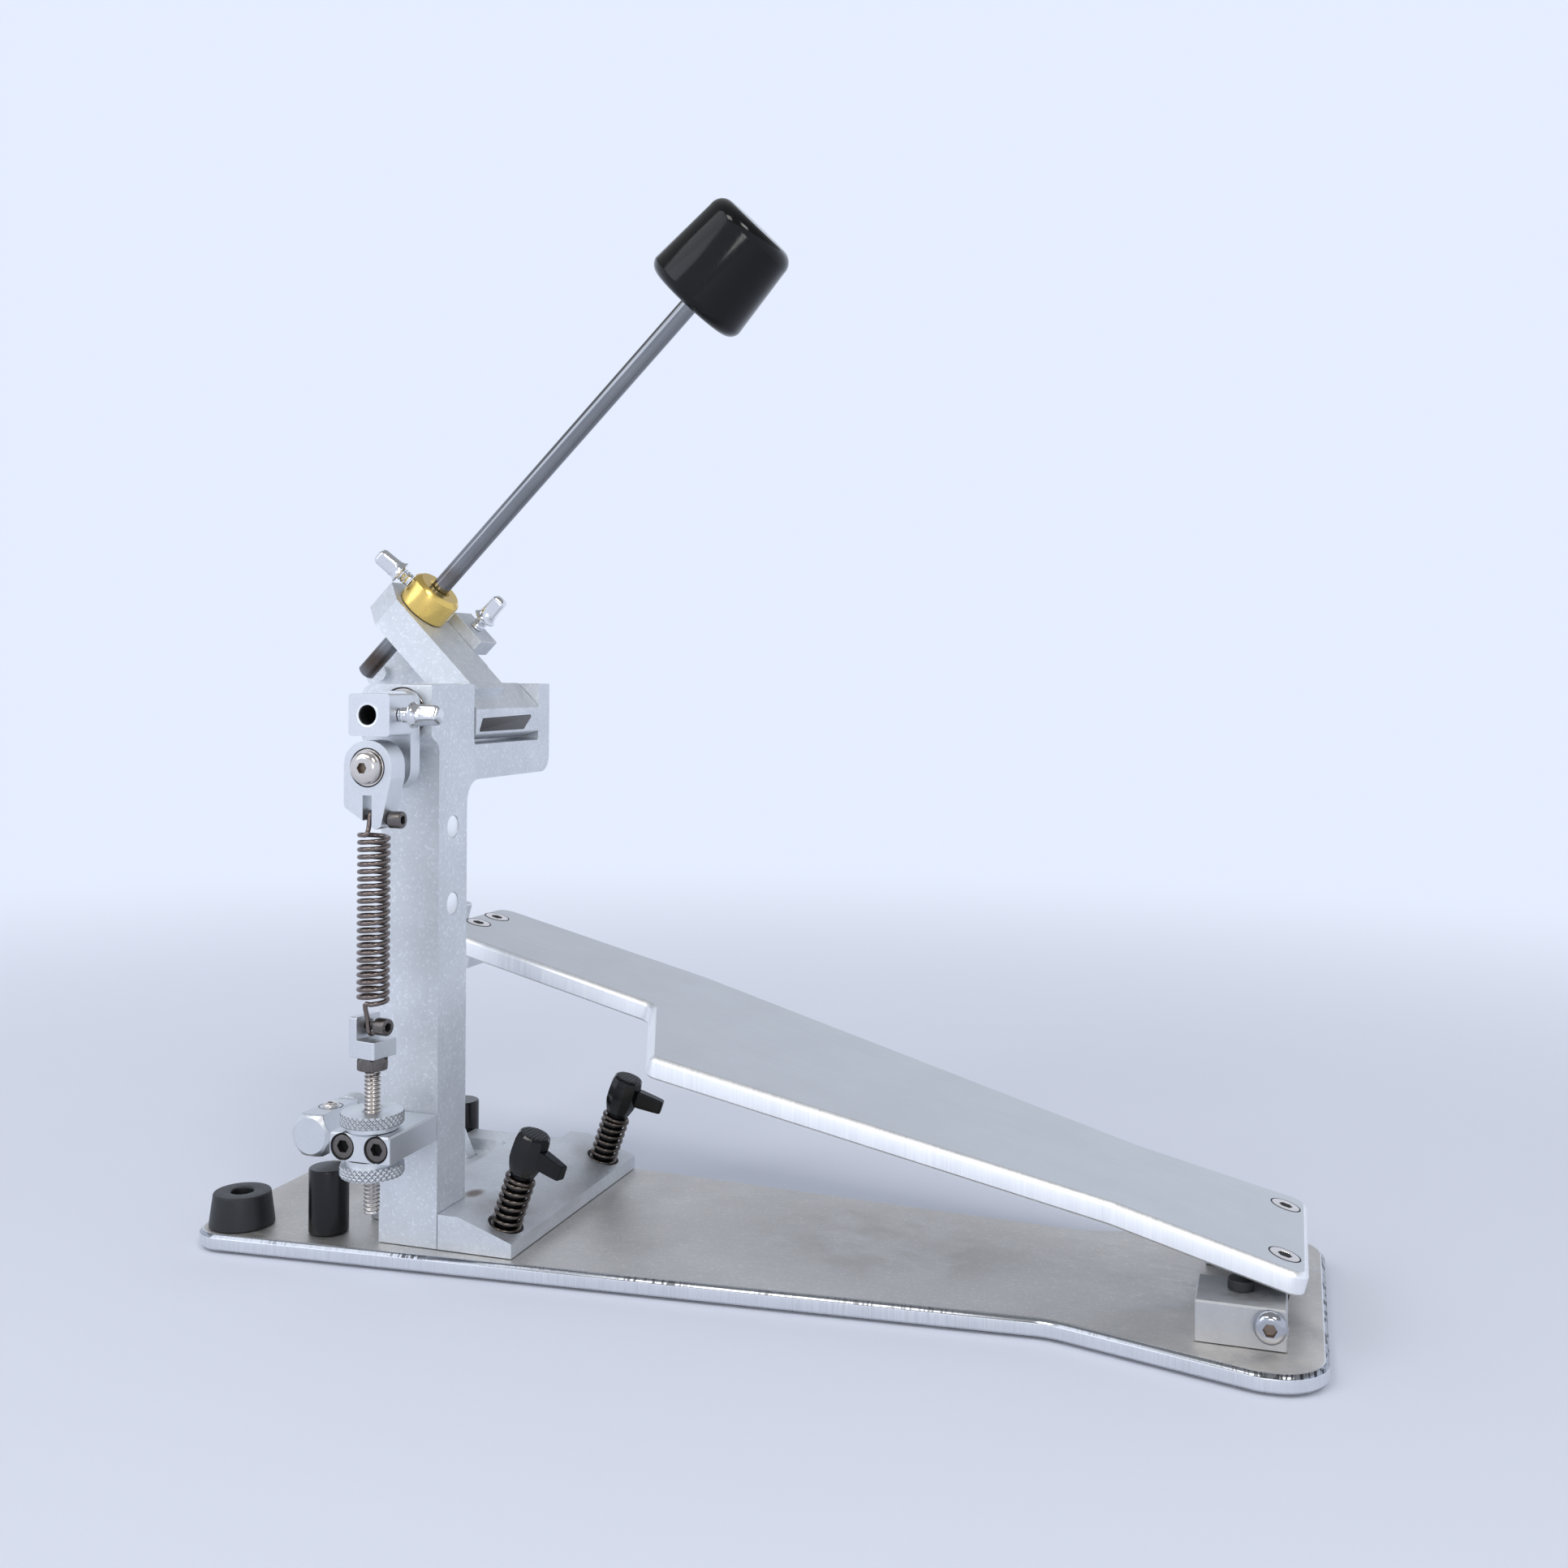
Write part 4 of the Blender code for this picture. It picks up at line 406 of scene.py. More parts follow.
def chattered_edge(name):
    """Chamfer of the base: mirror-bright, with bursts of dark tool chatter."""
    made, tree = blank(name)
    where = add(tree, "ShaderNodeTexCoord").outputs["Object"]
    # Chatter lines 1.1 mm apart in bursts about 40 mm long, strongest by the heel, drawn
    # coarser than real so that they show
    lines = add(tree, "ShaderNodeMapping", {
        "Vector": where, "Scale": (1.1 * MM, 5 * MM, 40 * MM),
    }, vector_type="TEXTURE").outputs["Vector"]
    lines = add(tree, "ShaderNodeTexNoise", {
        "Vector": lines, "Scale": 1.0, "Detail": 2.0,
    }).outputs["Fac"]
    bursts = add(tree, "ShaderNodeTexNoise", {
        "Vector": where, "Scale": 26.0, "Detail": 1.0,
    }).outputs["Fac"]
    lines = add(tree, "ShaderNodeMapRange", {
        "Value": lines, "From Min": 0.48, "From Max": 0.56, "To Min": 0.0, "To Max": 1.0,
    }).outputs["Result"]
    bursts = add(tree, "ShaderNodeMapRange", {
        "Value": bursts, "From Min": 0.50, "From Max": 0.60, "To Min": 0.10, "To Max": 0.80,
    }).outputs["Result"]
    along = add(tree, "ShaderNodeSeparateXYZ", {"Vector": where}).outputs["X"]
    heel = add(tree, "ShaderNodeMapRange", {
        "Value": along, "From Min": 0.29, "From Max": 0.32, "To Min": 0.0, "To Max": 0.9,
    }).outputs["Result"]
    bursts = add(tree, "ShaderNodeMath", {0: bursts, 1: heel}, operation="MAXIMUM").outputs[0]
    marks = add(tree, "ShaderNodeMath", {0: lines, 1: bursts}, operation="MULTIPLY").outputs[0]
    paint = add(tree, "ShaderNodeMix", {
        0: marks, 6: linear("#A9ADB3"), 7: linear("#2B2A2C"),
    }, data_type="RGBA").outputs[2]
    gloss = add(tree, "ShaderNodeMapRange", {
        "Value": marks, "To Min": 0.14, "To Max": 0.35,
    }).outputs["Result"]
    shader = add(tree, "ShaderNodeBsdfPrincipled", {
        "Base Color": paint, "Metallic": 1.0, "Roughness": gloss,
    })
    add(tree, "ShaderNodeOutputMaterial", {"Surface": shader.outputs["BSDF"]})
    return made


def gold_anodised(name):
    """Collar, turned then gold-anodised: fine rings, soft warm glare."""
    return surfaced(name, colour("gold"), 1.0, 0.26, (0.3, 0.3, 0.35 * MM), contrast=0.04,
                    centre=tuple(ROD_START), turn=(0.0, LEAN, 0.0),
                    swing=0.04, cloud=0.03)


def zinc_plate(name):
    """Key screws, bright zinc plate: cool and softly bright, with faint ripple."""
    return surfaced(name, colour("zinc"), 1.0, 0.46, (2.5 * MM,) * 3, contrast=0.03,
                    swing=0.04, cloud=0.03)


def stainless_steel(name):
    """Machine screws, bearings and shaft, bright stainless steel: small sharp glints."""
    return surfaced(name, colour("stainless"), 1.0, 0.20, (1.2 * MM,) * 3, contrast=0.04,
                    swing=0.05, cloud=0.04)


def polished_steel(name):
    """Hinge screws, polished steel: mirror-like."""
    return surfaced(name, colour("steel"), 1.0, 0.11, (1.2 * MM,) * 3, contrast=0.04,
                    swing=0.03, cloud=0.04)


def polished_rod(name):
    """Beater rod, dark ground steel: lengthwise glare, browner at the grips, just above the collar
    and at the lower end.
    """
    low = tuple(ROD_START - 16 * MM * ROD_AXIS)
    high = tuple(ROD_START + 31 * MM * ROD_AXIS)
    brown_patch_size = (11 * MM,) * 3
    return surfaced(name, colour("rod"), 1.0, 0.16, (0.4 * MM, 0.4 * MM, 25 * MM),
                    contrast=0.07, centre=tuple(ROD_START), turn=(0.0, LEAN, 0.0),
                    swing=0.05, cloud=0.08, stains_and_painted_light=(
                        (low, brown_patch_size, linear("#4A3A2C"), 0.85),
                        (high, brown_patch_size, linear("#55402B"), 0.70),
                    ))


def tempered_wire(name):
    """Tension spring, oil-tempered wire: dark bronze with sharp glints."""
    return surfaced(name, colour("spring"), 1.0, 0.24, (0.8 * MM,) * 3, contrast=0.12,
                    swing=0.06, cloud=0.10)


def black_wire(name):
    """Clamp springs, black enamelled wire: black with sharp glints."""
    return surfaced(name, colour("enamel"), 1.0, 0.20, (0.8 * MM,) * 3, contrast=0.15,
                    swing=0.05)


def black_oxide(name):
    """Cap screws and nut, black-oxide steel: warm dark grey, half dull."""
    return surfaced(name, colour("oxide"), 1.0, 0.34, (0.9 * MM,) * 3, contrast=0.12,
                    bump=0.01 * MM, swing=0.08, cloud=0.10)


def dark_recess(name):
    """Painted shade for the bottoms of sockets and the gaps round parts: near-black and dull."""
    return surfaced(name, linear("#0A0A0B"), 0.0, 0.7, (1.0 * MM,) * 3, contrast=0.2)


def socket_wall(name):
    """Walls of the hexagon sockets: broached steel painted darker and warmer than the heads, as
    painted shade inside the socket.
    """
    return surfaced(name, linear("#8A7C70"), 1.0, 0.34, (0.5 * MM,) * 3, contrast=0.15)


def moulded_plastic(name):
    """Beater, knuckle and blades of the knobs, moulded black plastic: gloss, faint rub marks."""
    return surfaced(name, colour("plastic"), 0.0, 0.13, (0.9 * MM, 4 * MM, 4 * MM),
                    contrast=0.25, bump=0.002 * MM, swing=0.05, cloud=0.2, shine=0.28)


def satin_plastic(name):
    """Bodies of the knobs, moulded black plastic: gloss, so that facets catch the light."""
    return surfaced(name, colour("plastic"), 0.0, 0.13, (0.9 * MM,) * 3, contrast=0.25,
                    swing=0.04, cloud=0.2, shine=0.42)


def ribbed_plastic(name):
    """Tops of the knobs, moulded with a 1.4 mm cross-hatch that dulls them; its grooves are painted
    darker and its ridges lighter as painted shade and highlight.
    """
    made, tree = blank(name)
    where = add(tree, "ShaderNodeTexCoord").outputs["Object"]
    held = add(tree, "ShaderNodeMapping", {
        "Vector": where, "Rotation": (0.0, WING_SLOPE, 0.0),
    }, vector_type="TEXTURE").outputs["Vector"]
    # A wave repeats every 0.314 m at scale 1, so scale 224 gives 1.4 mm
    ribs = [add(tree, "ShaderNodeTexWave", {"Vector": held, "Scale": 224.0, "Distortion": 0.0},
                bands_direction=axis).outputs["Fac"] for axis in "XY"]
    height = add(tree, "ShaderNodeMath", {0: ribs[0], 1: ribs[1]}, operation="MULTIPLY").outputs[0]
    tint = colour("plastic")
    # Painted shade and highlight: the hatch is painted darker in its grooves and lighter on its
    # ridges
    paint = add(tree, "ShaderNodeMix", {
        0: height, 6: tuple(0.4 * v for v in tint[:3]) + (1.0,),
        7: tuple(2.0 * v for v in tint[:3]) + (1.0,),
    }, data_type="RGBA").outputs[2]
    normal = add(tree, "ShaderNodeBump", {
        "Height": height, "Strength": 1.0, "Distance": 0.5 * MM,
    }).outputs["Normal"]
    shader = add(tree, "ShaderNodeBsdfPrincipled", {
        "Base Color": paint, "Roughness": 0.30, "Normal": normal, "Specular IOR Level": 0.18,
    })
    add(tree, "ShaderNodeOutputMaterial", {"Surface": shader.outputs["BSDF"]})
    return made


def satin_acetal(name):
    """Hoop stops and wing screws' sleeves, turned black acetal: half gloss, faint rings."""
    return surfaced(name, colour("acetal"), 0.0, 0.24, (0.3, 0.3, 1.5 * MM), contrast=0.05,
                    swing=0.03, shine=0.4)


def moulded_rubber(name):
    """Bumpers, pads and mat, moulded rubber: half dull black with a dusty bloom."""
    return surfaced(name, colour("rubber"), 0.0, 0.44, (0.7 * MM,) * 3, contrast=0.25,
                    bump=0.012 * MM, swing=0.10, cloud=0.2)


def bare_plate(name):
    """Blank plate stuck on the hub: plain dark film, half gloss."""
    return surfaced(name, colour("label"), 0.0, 0.30, (1.5 * MM,) * 3, contrast=0.15,
                    swing=0.06, cloud=0.2)


def pale_floor(name):
    """Matte pale floor that fades, away from the object, into a glowing light tent."""
    made, tree = blank(name)
    where = add(tree, "ShaderNodeTexCoord").outputs["Object"]
    cloud = add(tree, "ShaderNodeTexNoise", {
        "Vector": where, "Scale": 3.0, "Detail": 3.0,
    }).outputs["Fac"]
    shade = add(tree, "ShaderNodeMapRange", {
        "Value": cloud, "From Min": 0.3, "From Max": 0.7, "To Min": 0.99, "To Max": 1.01,
    }).outputs["Result"]
    paint = add(tree, "ShaderNodeVectorMath", {0: colour("floor")[:3], "Scale": shade},
                operation="SCALE").outputs["Vector"]
    matte = add(tree, "ShaderNodeBsdfPrincipled", {"Base Color": paint, "Roughness": 0.85})
    glow = add(tree, "ShaderNodeEmission", {"Color": colour("backdrop"), "Strength": 1.0})
    reach = add(tree, "ShaderNodeVectorMath", {0: where, 1: (0.12, -0.30, 0.0)},
                operation="DISTANCE").outputs["Value"]
    fade = add(tree, "ShaderNodeMapRange", {
        "Value": reach, "From Min": 0.45, "From Max": 1.6,
    }, interpolation_type="SMOOTHSTEP").outputs["Result"]
    mixed = add(tree, "ShaderNodeMixShader", {
        0: fade, 1: matte.outputs["BSDF"], 2: glow.outputs["Emission"],
    })
    add(tree, "ShaderNodeOutputMaterial", {"Surface": mixed.outputs["Shader"]})
    return made


FINISHES = {maker.__name__: maker for maker in (
    brushed_aluminium, rolled_aluminium, blasted_aluminium, tumbled_aluminium, oiled_aluminium,
    faced_aluminium, milled_edge, sawn_edge, knurled_aluminium, threaded_steel,
    chattered_edge, gold_anodised, zinc_plate, stainless_steel, polished_steel,
    polished_rod, tempered_wire, black_wire, black_oxide, dark_recess, socket_wall,
    moulded_plastic, satin_plastic, ribbed_plastic, satin_acetal, moulded_rubber,
    bare_plate, pale_floor,
)}


def finish(name):
    """Return a finish, made the first time that it is asked for."""
    return bpy.data.materials.get(name) or FINISHES[name](name)


def unit(vector):
    """Return a vector of length one."""
    vector = np.asarray(vector, float)
    return vector / np.linalg.norm(vector)


def seat(origin, axis, side=(1.0, 0.0, 0.0)):
    """Frame as a 3 by 4 array: z along axis, x as near to side as it can be."""
    z = unit(axis)
    side = np.asarray(side, float)
    if abs(side @ z) > 0.99 * np.linalg.norm(side):
        side = np.array((0.0, 0.0, 1.0)) if abs(z[2]) < 0.9 else np.array((0.0, 1.0, 0.0))
    x = unit(side - (side @ z) * z)
    return np.column_stack([x, np.cross(z, x), z, np.asarray(origin, float)])


def placed(local, place):
    """Carry points from a frame into the row frame."""
    return local @ place[:, :3].T + place[:, 3]


def spun(place, profile, count=None, limit=None, reach=None):
    """Surface of revolution: each (radius, height, corners) row goes round z.

    Corners 0 keeps the row round, 6 makes it a hexagon and 4 a soft square, both
    with radius as half the width across flats. Limit caps the radius at a height.
    Reach may shift the radius by a function of radius, height and angle.
    """
    rows = np.array([(*row, 0)[:3] for row in profile], float)
    count = count or sizes().segments
    angle = np.linspace(0.0, 2 * np.pi, count, endpoint=False)[None, :]
    radius, height, corners = (rows[:, i:i + 1] for i in range(3))
    hexagon = 1.0 / np.cos(angle % (np.pi / 3) - np.pi / 6)
    square = (np.abs(np.cos(angle)) ** 6 + np.abs(np.sin(angle)) ** 6) ** (-1 / 6)
    shape = np.where(corners == 6, hexagon, np.where(corners == 4, square, 1.0))
    wide = radius * shape
    if limit is not None:
        wide = np.minimum(wide, limit(height))
    if reach is not None:
        wide = wide + reach(radius, height, angle)
    height = np.broadcast_to(height, wide.shape)
    local = np.stack([wide * np.cos(angle), wide * np.sin(angle), height], -1)
    return placed(local, place)


def rounded(corners, step=math.radians(5.0)):
    """Outline whose corners (x, y, radius) become arcs of short chords."""
    spots = np.array([corner[:2] for corner in corners], float)
    points = []
    for index, (here, (_, _, radius)) in enumerate(zip(spots, corners)):
        if radius <= 0.0:
            points.append(here[None, :])
            continue
        before = unit(spots[index - 1] - here)
        after = unit(spots[(index + 1) % len(spots)] - here)
        half = math.acos(np.clip(before @ after, -1.0, 1.0)) / 2
        centre = here + unit(before + after) * radius / math.sin(half)
        start = here + before * radius / math.tan(half) - centre
        turn = math.pi - 2 * half
        if before[0] * after[1] - before[1] * after[0] > 0.0:
            turn = -turn
        angle = np.linspace(0.0, turn, max(2, math.ceil(abs(turn) / step) + 1))
        points.append(centre + np.stack([
            start[0] * np.cos(angle) - start[1] * np.sin(angle),
            start[0] * np.sin(angle) + start[1] * np.cos(angle),
        ], -1))
    return np.concatenate(points)


def inset(points, distance):
    """Outline moved inwards by a distance along the bisector at each point."""
    x, y = points.T
    area = np.sum(np.roll(x, 1) * y - np.roll(y, 1) * x)
    into = points - np.roll(points, 1, 0)
    out = np.roll(points, -1, 0) - points
    into = into / np.linalg.norm(into, axis=1, keepdims=True)
    out = out / np.linalg.norm(out, axis=1, keepdims=True)
    side = 1.0 if area > 0.0 else -1.0
    first = np.stack([-into[:, 1], into[:, 0]], -1) * side
    second = np.stack([-out[:, 1], out[:, 0]], -1) * side
    shift = (first + second) / (1.0 + np.sum(first * second, 1, keepdims=True))
    return points + shift * distance


def slab(points, profile, place):
    """Plate: each (inset, height) row of an edge profile follows the outline."""
    rows = []
    for distance, height in profile:
        flat = inset(points, distance)
        rows.append(np.column_stack([flat, np.full(len(flat), height)]))
    return placed(np.array(rows), place)


def curve(points, count):
    """Smooth path: Catmull-Rom cubics through the points, count per stretch."""
    p = np.asarray(points, float)
    p = np.concatenate([2 * p[:1] - p[1:2], p, 2 * p[-1:] - p[-2:-1]])
    t = np.linspace(0.0, 1.0, count, endpoint=False)[None, :, None]
    a, b, c, d = (p[i:len(p) - 3 + i][:, None, :] for i in range(4))
    path = b + 0.5 * t * (c - a + t * (2 * a - 5 * b + 4 * c - d + t * (3 * (b - c) + d - a)))
    return np.concatenate([path.reshape(-1, 3), p[-2:-1]])


def tube(path, radius, count=14):
    """Round wire: a ring is carried along a path without twisting, ends rounded.

    The ring's first spoke is turned with the path's own bends from station to
    station, and three shrinking rings close each end as a dome.
    """
    tangent = np.gradient(path, axis=0)
    tangent /= np.linalg.norm(tangent, axis=1, keepdims=True)
    spoke = np.cross(tangent[0], (0.3, 0.5, 0.81))
    spokes = [spoke / np.linalg.norm(spoke)]
    for here in tangent[1:]:
        spoke = spokes[-1] - (spokes[-1] @ here) * here
        spokes.append(spoke / np.linalg.norm(spoke))
    spokes = np.array(spokes)
    other = np.cross(tangent, spokes)
    bend = np.radians([90.0, 60.0, 30.0])
    start = path[0] - tangent[0] * radius * np.sin(bend)[:, None]
    end = path[-1] + tangent[-1] * radius * np.sin(bend[::-1])[:, None]
    centre = np.concatenate([start, path, end])
    wide = np.concatenate([np.cos(bend), np.ones(len(path)), np.cos(bend[::-1])]) * radius
    spokes = np.concatenate([np.repeat(spokes[:1], 3, 0), spokes, np.repeat(spokes[-1:], 3, 0)])
    other = np.concatenate([np.repeat(other[:1], 3, 0), other, np.repeat(other[-1:], 3, 0)])
    angle = np.linspace(0.0, 2 * np.pi, count, endpoint=False)[None, :, None]
    ring = np.cos(angle) * spokes[:, None, :] + np.sin(angle) * other[:, None, :]
    return centre[:, None, :] + wide[:, None, None] * ring


def thread(place, radius, low, high, pitch, depth):
    """Screw thread: the radius follows a triangle wave of height less turn."""
    rows = max(12, round((high - low) / pitch * 8))
    height = np.linspace(low, high, rows)
    ease = np.clip(np.minimum(height - low, high - height) / pitch, 0.0, 1.0)
    profile = [(0.0, low)] + [(radius, h) for h in height] + [(0.0, high)]
    ease = np.concatenate([[0.0], ease, [0.0]])[:, None]

    def groove(size, level, angle):
        wave = np.abs((level / pitch - angle / (2 * np.pi)) % 1.0 - 0.5) * 2
        end = np.where(size > 0.0, (1.0 - ease) * depth, 0.0)
        return -np.where(size > 0.0, wave * depth * ease, 0.0) - end * 0.6

    return spun(place, profile, 40, reach=groove)


def faces_of(rows, columns, loop):
    """Quads of a grid whose columns close on themselves, and its rows if a loop."""
    row = np.arange(rows if loop else rows - 1)[:, None]
    column = np.arange(columns)[None, :]
    after = (column + 1) % columns
    above = (row + 1) % rows
    quads = [row * columns + column, row * columns + after,
             above * columns + after, above * columns + column]
    return np.stack(np.broadcast_arrays(*quads), -1).reshape(-1, 4)


def piece(name, parts, body, nodes=(), sharp=32.0):
    """Make one object from grids and let it ride on a body.

    A part is a grid, its finish (or one finish per row of faces) and its ends:
    None where they close on the axis, "loop" where the profile closes on itself,
    or the two finishes of flat end faces.
    """
    points, polygons, coats = [], [], []
    start = 0
    for grid, coat, ends in parts:
        rows, columns = grid.shape[:2]
        quads = faces_of(rows, columns, ends == "loop") + start
        polygons += quads.tolist()
        bands = [coat] * (len(quads) // columns) if isinstance(coat, str) else list(coat)
        coats += [band for band in bands for _ in range(columns)]
        if ends not in (None, "loop"):
            last = start + (rows - 1) * columns
            polygons.append(list(range(start + columns - 1, start - 1, -1)))
            polygons.append(list(range(last, last + columns)))
            coats += list(ends)
        points.append(grid.reshape(-1, 3))
        start += rows * columns
    mesh = bpy.data.meshes.new(name)
    mesh.from_pydata(np.concatenate(points).tolist(), [], polygons)
    order = list(dict.fromkeys(coats))
    for coat in order:
        mesh.materials.append(finish(coat))
    mesh.polygons.foreach_set("material_index", [order.index(coat) for coat in coats])
    return settle(name, mesh, body, nodes, sharp)


def settle(name, mesh, body, nodes, sharp):
    """Merge, turn outwards and smooth a mesh, then make its object ride."""
    work = bmesh.new()
    work.from_mesh(mesh)
    bmesh.ops.remove_doubles(work, verts=work.verts, dist=0.0000005)
    bmesh.ops.recalc_face_normals(work, faces=work.faces)
    work.to_mesh(mesh)
    work.free()
    mesh.polygons.foreach_set("use_smooth", np.ones(len(mesh.polygons), bool))
    mesh.set_sharp_from_angle(angle=math.radians(sharp))
    made = bpy.data.objects.new(name, mesh)
    bpy.context.scene.collection.objects.link(made)
    if body:
        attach(made, body)
    if nodes:
        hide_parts(*nodes)
    return made


def casting(node, coat, body, width=None):
    """Merged copy of a CAD solid with its edges broken by a two-step bevel."""
    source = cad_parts[node].data
    points = np.empty(len(source.vertices) * 3)
    source.vertices.foreach_get("co", points)
    source.calc_loop_triangles()
    corners = np.empty(len(source.loop_triangles) * 3, int)
    source.loop_triangles.foreach_get("vertices", corners)
    mesh = bpy.data.meshes.new("finished_" + node)
    mesh.from_pydata(points.reshape(-1, 3).tolist(), [], corners.reshape(-1, 3).tolist())
    work = bmesh.new()
    work.from_mesh(mesh)
    bmesh.ops.remove_doubles(work, verts=work.verts, dist=0.000002)
    bmesh.ops.dissolve_limit(work, angle_limit=math.radians(1.0),
                             verts=work.verts, edges=work.edges)
    work.to_mesh(mesh)
    work.free()
    mesh.materials.append(finish(coat))
    made = settle("finished_" + node, mesh, body, (node,), 32.0)
    bevel = made.modifiers.new("broken_edges", "BEVEL")
    bevel.width = width or sizes().edge
    bevel.segments = 2
    bevel.limit_method = "ANGLE"
    bevel.angle_limit = math.radians(32.0)
    bevel.harden_normals = True
    return made


def coat_node(node, coat):
    """Give a CAD node that stays visible its finish."""
    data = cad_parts[node].data
    data.materials.clear()
    data.materials.append(finish(coat))


def arc(radius, centre, start, stop, count=7):
    """Rows (radius, height) of an arc from one angle to another, in degrees."""
    angle = np.radians(np.linspace(start, stop, count))
    return [(centre[0] + radius * math.cos(a), centre[1] + radius * math.sin(a)) for a in angle]


def socket(place, reach, top, key, deep, coat, wall="socket_wall"):
    """Flat ring in to a hexagon socket: its lip, and its six walls and its floor in a painted shade
    finish.
    """
    half = key / 2
    lip = top - 0.12 * MM
    return [
        (spun(place, [(reach, top), (half * 1.05, top, 6), (half, lip, 6)], 72), coat, None),
        (spun(place, [(half, lip, 6), (half * 0.98, top - deep, 6)], 72), wall, None),
        (spun(place, [(half * 0.98, top - deep, 6), (0.0, top - deep * 1.12)], 72), wall, None),
    ]


def button_head(place, across, height, key, coat="stainless_steel"):
    """Domed head with a hexagon socket, standing on the frame's plane."""
    half = across / 2
    share = np.linspace(0.0, 1.0, 12)
    flat = key * 0.74
    dome = [(flat + (half - flat) * math.cos(s * math.pi / 2) ** 0.85,
             height * (0.14 + 0.86 * math.sin(s * math.pi / 2) ** 1.1)) for s in share]
    return [(spun(place, [(0.0, 0.0), (half, 0.0)] + dome, 72), coat, None)] + socket(
        place, flat, height, key, height * 0.62, coat)


def cap_head(place, across, height, key, coat):
    """Cylinder head with a chamfered rim and a hexagon socket."""
    half = across / 2
    rim = half - 0.5 * MM
    return [
        (spun(place, [(0.0, 0.0), (half, 0.0), (half, height - 0.5 * MM),
                      (half - 0.15 * MM, height - 0.15 * MM), (rim, height)], 72), coat, None),
    ] + socket(place, rim, height, key, height * 0.55, coat, "dark_recess")


def key_screw(place):
    """Drum-key screw: thread, conical flange and a soft square head with a dome."""
    flange, head, tip = 5.0 * MM, 6.6 * MM, 17.1 * MM
    crown = 2.4 * MM
    rows = [(0.0, flange - 0.2 * MM), (4.4 * MM, flange - 0.2 * MM), (5.0 * MM, flange + 0.2 * MM),
            (5.0 * MM, flange + 0.6 * MM), (4.6 * MM, flange + 0.9 * MM), (4.1 * MM, head),
            (3.8 * MM, head + 1.0 * MM), (3.4 * MM, head + 1.8 * MM, 4),
            (3.2 * MM, head + 3.0 * MM, 4), (3.1 * MM, tip - crown, 4)]
    for share in np.linspace(12.0, 90.0, 9):
        a = math.radians(share)
        rows.append((max(0.0, 3.1 * MM * math.cos(a) ** 0.7), tip - crown * (1 - math.sin(a)), 4))
    return [
        (thread(place, 3.0 * MM, 0.0, flange, sizes().key_pitch, 0.55 * MM), "zinc_plate", None),
        (spun(place, rows, 72), "zinc_plate", None),
    ]


def flat_head(place, across, key):
    """Countersunk head flush with a plate, its shallow dark socket and the gap round it."""
    half = across / 2
    lift = 0.06 * MM
    rim = half - 0.75 * MM
    return [
        (spun(place, [(0.0, -2.5 * MM), (half - 2.4 * MM, -2.5 * MM), (half - 0.45 * MM, lift),
                      (rim, lift * 2)], 72), "stainless_steel", None),
        *socket(place, rim, lift * 2, key, lift * 1.4, "stainless_steel", "dark_recess"),
        (spun(place, [(half - 0.5 * MM, -0.5 * MM), (half - 0.5 * MM, lift * 0.4),
                      (half + 0.1 * MM, lift * 0.4), (half + 0.1 * MM, -0.5 * MM)], 72),
         "dark_recess", "loop"),
    ]


class PedalPiece:
    """Shared by the operators: each makes its pieces once."""

    bl_options = {"REGISTER"}

    def execute(self, context):
        self.make()
        return {"FINISHED"}


class PEDAL_OT_base(PedalPiece, bpy.types.Operator):
    """Base plate with milled edges, the mat, rubber bumpers and hoop stops"""

    bl_idname = "pedal.base"
    bl_label = "Base plate"

    def make(self):
        side = [(-92.0, 72.0, 13.0), (246.0, 47.5, 30.0), (316.0, 67.0, 17.92),
                (338.4, 66.0, 17.92)]
        corners = [(x, -y, r) for x, y, r in side] + side[::-1]
        points = rounded([tuple(v * MM for v in corner) for corner in corners])
        low, high = (corner[2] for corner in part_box("base_plate"))
        cut = sizes().base_chamfer
        soft = 0.25 * MM
        profile = [(1.0 * MM, low), (0.0, low + 1.0 * MM), (0.0, high - cut - soft),
                   (soft * 0.3, high - cut), (cut - soft * 0.3, high - soft * 0.6),
                   (cut + soft, high), (cut + 3 * soft, high)]
        coats = ["sawn_edge"] * 3 + ["chattered_edge", "sawn_edge", "rolled_aluminium"]
        grid = slab(points, profile, seat((0, 0, 0), (0, 0, 1)))
        piece("finished_base_plate", [(grid, coats, ("rolled_aluminium",) * 2)],
              "frame", ("base_plate",))
        coat_node("base_mat", "moulded_rubber")
        for sign, tag in SIDES:
            self.bumper(tag)
            self.stop(sign, tag)

    def bumper(self, tag):
        low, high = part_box("bumper_" + tag)
        top = high[2] - low[2]
        place = seat(((low[0] + high[0]) / 2, (low[1] + high[1]) / 2, low[2]), (0, 0, 1))
        outer = [(0.0, 0.0), (12.5 * MM, 0.0), (12.8 * MM, 0.3 * MM), (12.75 * MM, 1.2 * MM)]
        outer += arc(0.7 * MM, (10.6 * MM, top - 0.7 * MM), 8.0, 90.0, 7)
        outer += arc(0.6 * MM, (5.05 * MM, top - 0.6 * MM), 90.0, 180.0, 6)
        outer += [(4.4 * MM, top - 5.0 * MM), (4.3 * MM, top - 8.0 * MM), (0.0, top - 8.2 * MM)]
        piece("finished_bumper_" + tag, [(spun(place, outer), "moulded_rubber", None)],
              "frame", ("bumper_" + tag,))

    def stop(self, sign, tag):
        low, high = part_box("hoop_stop_" + tag)
        top = high[2] - low[2]
        place = seat((-38.5 * MM, sign * 52.4 * MM, low[2]), (0, 0, 1))
        rows = [(0.0, 0.0), (7.4 * MM, 0.0), (7.85 * MM, 0.5 * MM), (7.85 * MM, top - 0.7 * MM),
                (7.7 * MM, top - 0.25 * MM), (7.3 * MM, top), (0.0, top)]
        piece("finished_hoop_stop_" + tag, [(spun(place, rows), "satin_acetal", None)],
              "frame", ("hoop_stop_" + tag,))


